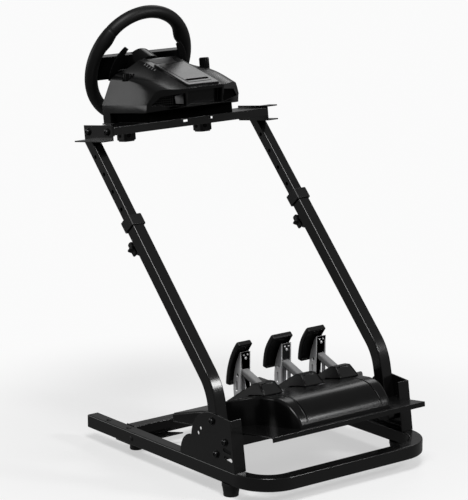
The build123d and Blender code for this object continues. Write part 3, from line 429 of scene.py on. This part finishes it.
def along_flank(rear, middle, front, t):
    """A point's way from the rear to the nose, eased where the shoulder turns down."""
    bend_start, bend_end = 0.3, 0.7
    if t < bend_start:
        return rear.lerp(middle, 2 * t)
    if t > bend_end:
        return middle.lerp(front, 2 * t - 1)
    first, last = rear.lerp(middle, 2 * bend_start), middle.lerp(front, 2 * bend_end - 1)
    return curved(first, middle, last, (t - bend_start) / (bend_end - bend_start))


def way_to_cheek(ends):
    """How far along its way a point of the shoulder meets the cheek, to stand a little proud of it."""
    proud = 0.3
    short, far = 0.5, 1.1
    for trial in range(30):
        t = (short + far) / 2
        p = along_flank(*ends, t)
        cheek_y = nose_y - cheek_back * max(0, p.x - nose_half) / cheek_run + nose_lean * (p.z - nose_z)
        short, far = (t, far) if p.y < cheek_y + proud else (short, t)
    return short


flank_rear = flank_section((side_x, -144, side_z), (118, -112, 112), (spine_half, spine_rear, spine_top))
flank_middle = flank_section((side_x, turn_y, side_z), (112, turn_y, 109), (50, turn_y, 121.6))
flank_front = flank_section((side_x, nose_y, side_z), (103, nose_y, 68), (47, nose_y, nose_z))
flank_start, flank_steps = 0.004, 44
strands = []
for ends in zip(flank_rear, flank_middle, flank_front):
    run = way_to_cheek(ends) - flank_start
    strands.append([along_flank(*ends, flank_start + run * k / flank_steps) for k in range(flank_steps + 1)])
knob_low, knob_high = corners("clamp_knob_right")
clamp_x, clamp_y = (knob_low.x + knob_high.x) / 2, -61
seat_radius, seat_floor = 14.5, 103.2
for side, hand in hands:
    flank = skin([[(side * p.x, p.y, p.z) for p in row] for row in zip(*strands)])
    flank = bored(flank, (side * clamp_x, clamp_y), seat_radius, seat_floor)
    solid(f"shoulder_{hand}", flank, moulded, "wheel_deck", deck, smooth=32)

# Nose openings: a slanted opening in each cheek of the nose, with a moulded plastic grille of
# thin bars over a near-black sheet of painted shade that darkens the opening behind them.
# The right grille leaves room for a satin flap.
cheek_width = math.hypot(cheek_run, cheek_back)
opening_start, knee, knee_drop = 4, cheek_width * 2 / 3, -16
top_start, top_run, knee_fall, bar_fall = -12, 55, 0.78, 1.27
foot_start, foot_end, foot_run = -41, -33, 77


def rod(start, end, radius, sides=8):
    """A round bar between two points, with eased ends."""
    start, end = Vector(start), Vector(end)
    length = (end - start).length
    across = (1, 0, 0) if abs((end - start).normalized().x) < 0.9 else (0, 1, 0)
    tip = [(radius * 0.5, 0), (radius * 0.9, radius * 0.2), (radius, radius * 0.6)]
    profile = tip + [(r, length - h) for r, h in reversed(tip)]
    return moved(lathe(profile, sides), facing(start, end - start, across))


def opening_top(u):
    """The opening's upper edge at a place along the cheek, falling off past the knee."""
    if u < knee:
        return top_start + (knee_drop - top_start) * (u - opening_start) / top_run
    return knee_drop - knee_fall * (u - knee)


def opening_foot(u):
    """The opening's lower edge at a place along the cheek."""
    return foot_start + (foot_end - foot_start) * (u - opening_start) / foot_run


# Satin grey plastic for the nose flap; on the spine ribs its lighter grey is a painted highlight.
satin_and_highlight_grey = finish_material("satin_grey_and_painted_highlight", (0.09, 0.11), (0.3, 0.4), (2000, 0.08))
bar_depth, bar_radius, bar_pitch = -6, 0.7, 5
openings = ((1, "right", 30, 33, -13.5), (-1, "left", 4, 8, -4))
for side, hand, bar_start, first_upright, shade_sheet_depth in openings:
    along = Vector((side * cheek_run, -cheek_back, 0))
    out = along.cross(Vector((0, nose_lean, 1))) * -side
    cheek = deck @ facing((side * nose_half, nose_y, nose_z), out, along)
    up = -side
    bars = [rod((u, up * opening_top(u), bar_depth), (u, up * opening_foot(u), bar_depth), bar_radius, 6)
            for u in range(first_upright, int(cheek_width) - 10, bar_pitch)]
    for v in range(-18, -34, -bar_pitch):
        bar_end = min(knee + (knee_drop - v) * bar_fall, cheek_width - 9)
        bars.append(rod((bar_start, up * v, bar_depth), (bar_end, up * v, bar_depth), bar_radius, 6))
    solid(f"grille_{hand}", joined(*bars), plastic, "wheel_deck", cheek)
    # The sheet behind the bars is painted shade: near-black, it darkens the inside of the opening.
    edge = [(3, -9), (knee, -14), (cheek_width - 6, -35), (cheek_width - 6, -43), (3, -43)]
    shade_sheet = skin([[(u, up * v, d) for u, v in edge] for d in (shade_sheet_depth - 1, shade_sheet_depth)])
    solid(f"grille_painted_shade_{hand}", shade_sheet, shade_black, "wheel_deck", cheek)
    if hand == "right":
        flap = [(7, -13, -11), (28, -17, -5), (26, -34, -5), (8, -38, -11)]
        flap = skin([[(u, up * v, d + thick) for u, v, d in flap] for thick in (0, 2)])
        solid("nose_flap", flap, satin_and_highlight_grey, "wheel_deck", cheek, bevel=0.5)

# Spine and lid: a moulded lid snapped on the housing's sloping spine, with a panel and a near-black bar
# of painted shade for the slot in it, a matt plastic inset behind it and a row of ribs down both edges
# of the spine, whose lighter satin grey is a painted highlight on their notches.
spine_slope = (spine_top - nose_z) / (nose_y - spine_rear)
rib_start, rib_pitch, rib_radius = -70, 9, 1.5
ribs = []
for side, hand in hands:
    for y in (rib_start + rib_pitch * k for k in range(5)):
        z = nose_z + (nose_y - y) * spine_slope
        inner, outer = (side * (spine_half - 1), y, z - 0.8), (side * (spine_half + 5), y + 1, z - 4)
        ribs.append(rod(inner, outer, rib_radius))
# The ribs' lighter grey is a painted highlight for the light their notches catch.
solid("spine_ribs_painted_highlight", joined(*ribs), satin_and_highlight_grey, "wheel_deck", deck)
lid = deck @ facing((0, nose_y, nose_z), (0, spine_slope, 1))
lid_rise, lid_front, lid_rear = 4.5, -5, -142
lid_edge = [(41, lid_rear), (43, lid_rear + 4), (45, lid_front - 6), (42, lid_front)]
lid_edge = [(-41, lid_rear)] + lid_edge + [(-x, y) for x, y in reversed(lid_edge[1:])]
lid_cover = slab(lid_edge, -2, lid_rise, 3)
solid("lid_cover", lid_cover, moulded, "wheel_deck", lid, ("wheel_lid",), smooth=40)
panel_y, slot_y = (lid_front + lid_rear) / 2 - 4, -33
panel = slab(rounded_outline(68, 116, 6, (0, panel_y)), lid_rise - 1, lid_rise + 0.6, 0.5)
solid("lid_panel", panel, moulded, "wheel_deck", lid)
# The slot is a raised near-black bar of painted shade, not a cut in the lid.
slot_bar = slab(rounded_outline(62, 8, 2.2, (0, slot_y)), lid_rise, lid_rise + 1.2, 0.4)
solid("lid_slot_painted_shade", slot_bar, shade_black, "wheel_deck", lid)
inset = slab([(-34, -180), (34, -180), (27, -146), (-27, -146)], -1, 0.5, 0.4)
solid("spine_inset", inset, plastic, "wheel_deck", lid)

# Table clamps: moulded jaws with rubber pads that grip the deck from below, drawn up by ribbed
# gloss screw knobs in the shoulders' seats. The left knob is screwed in less far than the right.
coat(plastic, "black_plastic", *pair("clamp_jaw"))
soften(2.5, *pair("clamp_jaw"))
gloss = finish_material("gloss_black", (0.002, 0.003), (0.12, 0.2), (900, 0.05), shine=0.08)
seat, rib_depth = 103, 0.9
knob_radius = (knob_high.x - knob_low.x) / 2 + 1.2
jaw_half, jaw_front, jaw_low = 16.5, -70, -31
pad_y, pad_sink = jaw_front - 19, 0.5
front_eye_x, side_eye_y, eye_z = 6, jaw_front - 21, -19
eye = lathe([(5, -0.5), (5, 0.8), (4.2, 1.2), (3.4, 0.4), (0.1, 0.3)])
pad = slab(rounded_outline(27, 32, 6), 0, 3, 1)
for side, hand, top in ((1, "right", 121), (-1, "left", 138)):
    x = side * clamp_x
    knob = lobed(16, knob_radius, rib_depth, [(0.9, seat), (1, seat + 1), (1, top - 3), (0.94, top - 1),
                                              (0.8, top), (0.2, top + 0.2)], 96)
    solid(f"clamp_screw_{hand}", knob, gloss, "wheel_deck",
          deck @ Matrix.Translation((x, clamp_y, 0)), (f"clamp_knob_{hand}",))
    solid(f"jaw_pad_{hand}", pad, rubber, "wheel_deck",
          deck @ facing((x, pad_y, jaw_low + pad_sink), (0, 0, -1)))
    eyes = [moved(eye, facing((x + front_eye_x, jaw_front, eye_z), (0, 1, 0))),
            moved(eye, facing((x + jaw_half, side_eye_y, eye_z), (1, 0, 0), (0, 1, 0)))]
    solid(f"jaw_eyes_{hand}", joined(*eyes), gloss, "wheel_deck", deck)

# Rim: a steel ring wrapped in leather over two thumb rests, pinched at four cross seams
# and sewn along its inner side with grey thread, its grey partly a painted highlight along the seam.
leather = finish_material("rim_leather", (0.002, 0.004), (0.4, 0.52), (700, 0.35), shine=0.25)
# The thread's grey, lighter than the leather, is partly a painted highlight along the inner seam.
thread_and_highlight = finish_material("seam_thread_and_painted_highlight", (0.02, 0.035), (0.55, 0.7), (1500, 0.3))
rim = facing(*joint("steering"))
rim_radius, grip = 131, 15
thumb_rests, thumb_depth, thumb_spread = (32, 148), 9, 11
seams, seam_depth, seam_spread = (43, 137, 222, 318), 0.8, 0.7
groove_depth, groove_spread = 0.6, 0.1


def nearness(turn, places, spread):
    """A bump of height 1 at each of the places round the rim, in degrees."""
    return sum(math.exp(-((math.degrees(turn) - place) / spread) ** 2) for place in places)


def rim_loop(turn, count=36):
    """One section of the rim: thicker inwards at the thumb rests, pinched at the seams."""
    thumb = thumb_depth * nearness(turn, thumb_rests, thumb_spread)
    pinch = seam_depth * nearness(turn, seams, seam_spread)
    loop = []
    for k in range(count):
        a = 2 * math.pi * k / count
        reach = grip - pinch - groove_depth * math.exp(-((a - math.pi) / groove_spread) ** 2)
        inward = thumb * max(0.0, -math.cos(a)) ** 1.5
        r = rim_radius + reach * math.cos(a) - inward
        loop.append((r * math.cos(turn), r * math.sin(turn), reach * math.sin(a)))
    return loop


vertices, faces = skin([rim_loop(2 * math.pi * k / 360) for k in range(361)])
ring_faces = faces[:-2]  # the ring closes on itself, so it has no end caps
solid("rim_wrap", (vertices, ring_faces), leather, "wheel", rim, ("wheel_rim",))
stitch_count, stitch_lean, stitch_half, stitch_sink, thread_radius = 170, 0.012, 2.4, 0.4, 0.55
stitches = []
for k in range(stitch_count):
    turn = 2 * math.pi * k / stitch_count
    r = rim_radius - grip - thumb_depth * nearness(turn, thumb_rests, thumb_spread) + stitch_sink
    lean = stitch_lean if k % 2 else -stitch_lean
    ends = [(r * math.cos(turn + lean * way), r * math.sin(turn + lean * way), stitch_half * way)
            for way in (-1, 1)]
    stitches.append(rod(*ends, thread_radius, 6))
solid("rim_stitches", joined(*stitches), thread_and_highlight, "wheel", rim)

# Hub: a gloss black moulding with three spokes, a round plastic cap screwed on the column's end
# with six blackened screws, and a group of push buttons on each side spoke.
coat(gloss, "black_plastic", "wheel_hub")
soften(1.2, "wheel_hub", merge=False)
hub_front, screw_circle = 2, 24
cap = lathe([(34, 0), (34, 3), (32.5, 5), (28, 6.2), (14, 7), (0.1, 7.2)], 64)
solid("hub_cap", cap, plastic, "wheel", rim @ Matrix.Translation((0, 0, hub_front - 0.5)))
screw = lathe([(3.6, 0), (3.6, 6.6), (3, 7.4), (1.8, 7.5), (1.7, 6.6), (0.1, 6.5)], 20)
screws = []
for a in (math.radians(30 + 60 * k) for k in range(6)):
    spot = (screw_circle * math.cos(a), screw_circle * math.sin(a), hub_front)
    screws.append(moved(screw, Matrix.Translation(spot)))
solid("hub_screws", joined(*screws), bolt_steel, "wheel", rim)
buttons = []
for side, hand in hands:
    for x, y, r in ((62, 14, 5), (78, 14, 5), (62, -6, 5), (78, -6, 5), (70, 4, 3.5)):
        button = lathe([(r, 6), (r, 8.4), (r - 0.8, 9.2), (0.1, 9.4)], 24)
        buttons.append(moved(button, Matrix.Translation((side * x, y, 0))))
solid("spoke_buttons", joined(*buttons), gloss, "wheel", rim)

# Shift paddles: two flat moulded plastic blades behind the rim,
# each on a sprung hinge beside the hub.
coat(moulded, "housing_plastic", *pair("paddle"))
soften(0.8, *pair("paddle"), merge=False)

# Pedal deck: folded steel sheet bolted on a square carrier tube between the side plates,
# powder-coated like the frame.
coat(paint, "frame_paint", "pedal_carrier", "pedal_deck")
soften(0.8, "pedal_carrier", "pedal_deck")
deck_front, deck_top, deck_lean = 405, 150, math.radians(7.7)
pedal_floor = Matrix.Translation((0, deck_front, deck_top)) @ Matrix.Rotation(deck_lean, 4, "X")

# Pedal shell: a moulded cover over the pedal springs, screwed on the deck and open under each boot.
# A groove, laid as a thin near-black strip of painted shade, and a raised seam run up its front on both
# sides.


def eased(table, d):
    """A smooth curve through (place, value) pairs."""
    last = len(table) - 1
    k = max(i for i in range(last) if table[i][0] <= d)
    slopes = []
    for i in (k, k + 1):
        before, after = table[max(i - 1, 0)], table[min(i + 1, last)]
        slopes.append((after[1] - before[1]) / (after[0] - before[0]))
    run = table[k + 1][0] - table[k][0]
    t = (d - table[k][0]) / run
    return ((1 + 2 * t) * (1 - t) ** 2 * table[k][1] + t * (1 - t) ** 2 * run * slopes[0]
            + t * t * (3 - 2 * t) * table[k + 1][1] - t * t * (1 - t) * run * slopes[1])


def draped(shape, path, aim, width, rise):
    """A strip laid on a shape along a path, seen along aim, standing rise above its surface."""
    tree = BVHTree.FromPolygons([Vector(v) for v in shape[0]], shape[1])
    hits = []
    for point in path:
        spot, normal, face, distance = tree.ray_cast(point, aim)
        if spot is not None:
            hits.append((spot, normal if normal.dot(aim) < 0 else -normal))
    section = ((-0.5, -1), (-0.5, rise * 0.4), (-0.3, rise), (0.3, rise), (0.5, rise * 0.4), (0.5, -1))
    loops = []
    for k, (spot, normal) in enumerate(hits):
        run = hits[min(k + 1, len(hits) - 1)][0] - hits[max(k - 1, 0)][0]
        across = run.cross(normal).normalized()
        loops.append([tuple(spot + across * width * u + normal * h) for u, h in section])
    return skin(loops)


shell_halves = ((15, 126), (40, 132), (79, 137), (110, 139), (135, 147), (160, 174), (185, 199), (205, 209),
                (228, 213.5), (351, 213.5))
shell_heights = ((15, 7.5), (19, 18), (26, 29), (35, 39), (47, 49), (60, 56), (75, 60), (90, 61.5),
                 (126, 61.3), (175, 57), (200, 48), (228, 35), (260, 31), (351, 17))
shell_front, shell_rear = shell_halves[0][0], shell_halves[-1][0]
shell_rows, front_crowding, top_steps = 100, 1.5, 30
shell_round, bend_turns = 6, [math.radians(15 * i) for i in range(7)]
boot_places, boot_front, boot_rear, boot_half = (105, -10, -110), 114, 254, 19
rows = []
for k in range(shell_rows):
    d = shell_front + (shell_rear - shell_front) * (k / (shell_rows - 1)) ** front_crowding
    half, height = eased(shell_halves, d), eased(shell_heights, d)
    bend = min(shell_round, 0.8 * height)
    side_edge = [(half, 0)]
    side_edge += [(half - bend * (1 - math.cos(a)), height - bend * (1 - math.sin(a))) for a in bend_turns]
    top = [((half - bend) * (1 - i / top_steps), height) for i in range(1, 2 * top_steps)]
    rows.append([(x, -d, z) for x, z in side_edge + top] + [(-x, -d, z) for x, z in reversed(side_edge)])
front_edge, rear_edge = ([(x, y, 0) for x, y, z in row] for row in (rows[0], rows[-1]))
rows = [front_edge] + rows + [rear_edge]
count = len(front_edge)
vertices = [point for row in rows for point in row]
faces = []
for start in range(0, len(vertices) - count, count):
    for here in range(start, start + count - 1):
        x, y, z = vertices[here]
        under_boot = boot_front < -y < boot_rear and min(abs(x - place) for place in boot_places) < boot_half
        if not under_boot:
            faces.append((here, here + 1, here + count + 1, here + count))
shell = moved((vertices, faces), pedal_floor)
solid("shell_cover", shell, moulded, "pedals", stands_for=("pedal_shell",), smooth=50)
down, above_shell = pedal_floor.to_3x3() @ Vector((0, 0, -1)), 140
# The groove strip's near-black finish is painted shade for the groove's hollow; the seam is a raised bead.
shell_lines = (("groove", 103, 1.8, 0.15, shade_black), ("seam", 105.5, 2.6, 0.6, moulded))
for side, hand in hands:
    for line, x, width, rise, finish in shell_lines:
        path = [pedal_floor @ Vector((side * x, -d, above_shell)) for d in range(17, 98, 2)]
        strip = draped(shell, path, down, width, rise)
        solid(f"shell_{line}_{hand}", strip, finish, "pedals")

# Pedals: zinc-plated channel arms that swing out of moulded boots, each pushing a grey strut.
# A curved moulded pad with a hollow back and raised ridges is bolted on each arm's bracket.
steel = finish_material("zinc_steel", (0.8, 0.92), (0.3, 0.4), (300, 0.06), metallic=0.6)
grey = finish_material("grey_plastic", (0.16, 0.24), (0.32, 0.42), (1500, 0.1))
pad_plastic = finish_material("pad_plastic", (0.003, 0.005), (0.4, 0.5), (2400, 0.15), shine=0.25)
pivot = joint("brake_press")[0]
arc_rise, arc_radius, pad_top = 54, 163, 160
arc_y, arc_z = pivot.y + 140, pivot.z + arc_rise
pad_round, pad_margin, taper_end = 4, 9, 1 / 1.8
ridge_count, ridge_radius, ridge_sink = 5, 1.6, 0.6


def on_pad(foot_turn, x, s, depth):
    """A point of a pad: across, up along its curve from the lower end, and in from the pressed side."""
    turn = foot_turn + s / arc_radius
    reach = arc_radius - depth
    return x, arc_y - reach * math.cos(turn), arc_z + reach * math.sin(turn)


for pedal, shift, foot, taper in (("throttle", 5.4, 56, 0), ("brake", 3.5, 78, 6), ("clutch", 8, 77, 6)):
    coat(plastic, "black_plastic", f"{pedal}_boot", f"{pedal}_bracket")
    coat(steel, "steel", f"{pedal}_arm")
    coat(grey, "grey_plastic", f"{pedal}_strut")
    soften(3, f"{pedal}_boot", angle=20, merge=False)
    soften(0.8, f"{pedal}_arm", f"{pedal}_bracket")
    soften(1.5, f"{pedal}_strut")
    left, right = (corner.x + shift for corner in corners(f"{pedal}_pad"))
    foot_turn, top_turn = (math.asin((rise - arc_rise) / arc_radius) for rise in (foot, pad_top))
    run = arc_radius * (top_turn - foot_turn)
    middle = ((left + right) / 2, run / 2)
    outline = rounded_outline(right - left, run, pad_round, middle, side_steps=8)
    outline = [(x - taper * max(0, 1 - s / (run * taper_end)) * (x > left + pad_margin), s)
               for x, s in outline]
    half = min(right - left, run) / 2
    section = ((half * 0.98, 0), (half * 0.5, 0), (1.2, 0), (0.3, 0.3), (0, 1.2), (0, 10), (0.3, 10.7),
               (0.9, 11), (2.4, 11), (2.8, 10.6), (3, 10), (3.2, 6), (half * 0.5, 6), (half * 0.98, 6))
    tread = skin([[on_pad(foot_turn, x, s, depth) for x, s in shrunk(outline, middle, 1 - inset / half)]
                  for inset, depth in section])
    ridges = []
    for s in (run * k / (ridge_count + 1) for k in range(1, ridge_count + 1)):
        ends = [on_pad(foot_turn, x, s, ridge_sink) for x in (left + pad_margin, right - pad_margin)]
        ridges.append(rod(*ends, ridge_radius))
    solid(f"{pedal}_tread", joined(tread, *ridges), pad_plastic, pedal,
          stands_for=(f"{pedal}_pad",))
    low, high = corners(f"{pedal}_bracket")
    bolts = []
    for across, drop, r in ((5, 6, 2), (-5, 6, 2), (0, 13, 3.2)):
        spot = ((low.x + high.x) / 2 + across, high.y, high.z - drop)
        pad_bolt = lathe([(r, -1), (r, 1.6), (r - 0.8, 2.4), (0.1, 2.6)], 20)
        bolts.append(moved(pad_bolt, facing(spot, (0, 1, 0))))
    solid(f"{pedal}_bolts", joined(*bolts), steel, pedal)

# Studio floor: a pale round board that keeps the stand's shadow and fades into the white surround.
# The camera, glass and, in part, reflections see it pale; it throws little light back on the stand.
scene = bpy.context.scene


def pale_share(nodes, links):
    """How much of the white surround a ray sees: all for the camera and glass, part in reflections."""
    ray = nodes.new("ShaderNodeLightPath")
    glossy, seen, clear = (nodes.new("ShaderNodeMath") for k in range(3))
    glossy.operation, seen.operation, clear.operation = "MULTIPLY", "MAXIMUM", "MAXIMUM"
    glossy.inputs[1].default_value = 0.2
    links.new(ray.outputs["Is Glossy Ray"], glossy.inputs[0])
    links.new(ray.outputs["Is Camera Ray"], seen.inputs[0])
    links.new(glossy.outputs["Value"], seen.inputs[1])
    links.new(seen.outputs["Value"], clear.inputs[0])
    links.new(ray.outputs["Is Transmission Ray"], clear.inputs[1])
    return clear.outputs["Value"]


floor_radius, floor_sides = 2.6, 96
floor_turns = [2 * math.pi * k / floor_sides for k in range(floor_sides)]
floor_edge = [(floor_radius * math.cos(a), floor_radius * math.sin(a), 0) for a in floor_turns]
floor_mesh = bpy.data.meshes.new("floor")
floor_mesh.from_pydata(floor_edge, [], [tuple(range(floor_sides))])
floor = bpy.data.objects.new("floor", floor_mesh)
scene.collection.objects.link(floor)
floor_material = bpy.data.materials.new("pale_floor")
floor_material.use_nodes = True
nodes, links = floor_material.node_tree.nodes, floor_material.node_tree.links
floor_shader = nodes["Principled BSDF"]
floor_shader.inputs["Roughness"].default_value = 0.6
floor_shader.inputs["Specular IOR Level"].default_value = 0.1
tone = nodes.new("ShaderNodeMix")
tone.data_type = "RGBA"
tone.inputs["A"].default_value = (0.12, 0.12, 0.12, 1)
tone.inputs["B"].default_value = (0.93, 0.93, 0.93, 1)
share = pale_share(nodes, links)
links.new(share, tone.inputs["Factor"])
links.new(tone.outputs["Result"], floor_shader.inputs["Base Color"])
place, away = nodes.new("ShaderNodeTexCoord"), nodes.new("ShaderNodeVectorMath")
away.operation = "LENGTH"
fade = nodes.new("ShaderNodeMapRange")
fade.interpolation_type = "SMOOTHSTEP"
fade.inputs["From Min"].default_value, fade.inputs["From Max"].default_value = 0.35, 1.0
fade.inputs["To Min"].default_value = 0.55
glow, blend = nodes.new("ShaderNodeEmission"), nodes.new("ShaderNodeMixShader")
glow.inputs["Color"].default_value = (0.96, 0.96, 0.96, 1)
links.new(place.outputs["Object"], away.inputs[0])
links.new(away.outputs["Value"], fade.inputs["Value"])
links.new(fade.outputs["Result"], blend.inputs["Fac"])
links.new(floor_shader.outputs["BSDF"], blend.inputs[1])
links.new(share, glow.inputs["Strength"])
links.new(glow.outputs["Emission"], blend.inputs[2])
links.new(blend.outputs["Shader"], nodes["Material Output"].inputs["Surface"])
floor_mesh.materials.append(floor_material)

# Studio light: a dim even surround that looks white to the camera, and four square soft lamps
# aimed at the stand: one overhead, two behind it and one in front.
world = bpy.data.worlds.new("studio")
scene.world = world
world.use_nodes = True
nodes, links = world.node_tree.nodes, world.node_tree.links
background = nodes["Background"]
background.inputs["Color"].default_value = (1, 1, 1, 1)
shade = nodes.new("ShaderNodeMix")
shade.inputs["A"].default_value = 0.06
shade.inputs["B"].default_value = 0.96
links.new(pale_share(nodes, links), shade.inputs["Factor"])
links.new(shade.outputs["Result"], background.inputs["Strength"])
lamp_target = Vector((0, 0, 0.4))
for name, spot, size, power in (
    ("top_light", (1.1, 1.7, 4.0), 1.6, 130),
    ("back_light", (-3.7, -3.2, 3.7), 2.0, 29),
    ("right_light", (3.4, -4.2, 1.6), 2.0, 36),
    ("front_light", (-2.1, 2.9, 2.4), 0.7, 50),
):
    lamp = bpy.data.lights.new(name, "AREA")
    lamp.shape, lamp.size, lamp.energy = "SQUARE", size, power
    light = bpy.data.objects.new(name, lamp)
    light.location = spot
    light.rotation_euler = (lamp_target - Vector(spot)).to_track_quat("-Z", "Y").to_euler()
    scene.collection.objects.link(light)

# Camera: a long lens in front of the stand and to its right, a little above the wheel,
# at the place and angle from which the stand's own straight edges fit the photograph.
azimuth, elevation = math.radians(141.84), math.radians(12.886)
camera_spot = (3.0971, 3.9426, 1.5941)
focal_pixels, picture_pixels, sensor = 2298.2, 500, 36
camera_data = bpy.data.cameras.new("photo_camera")
camera_data.lens, camera_data.sensor_width = focal_pixels * sensor / picture_pixels, sensor
camera_data.clip_end = 100
camera = bpy.data.objects.new("photo_camera", camera_data)
camera.location = camera_spot
level = Vector((math.sin(azimuth), -math.cos(azimuth), 0)) * math.cos(elevation)
view = -(level + Vector((0, 0, math.sin(elevation))))
camera.rotation_euler = view.to_track_quat("-Z", "Y").to_euler()
scene.collection.objects.link(camera)
scene.camera = camera
scene.view_settings.view_transform = "Standard"
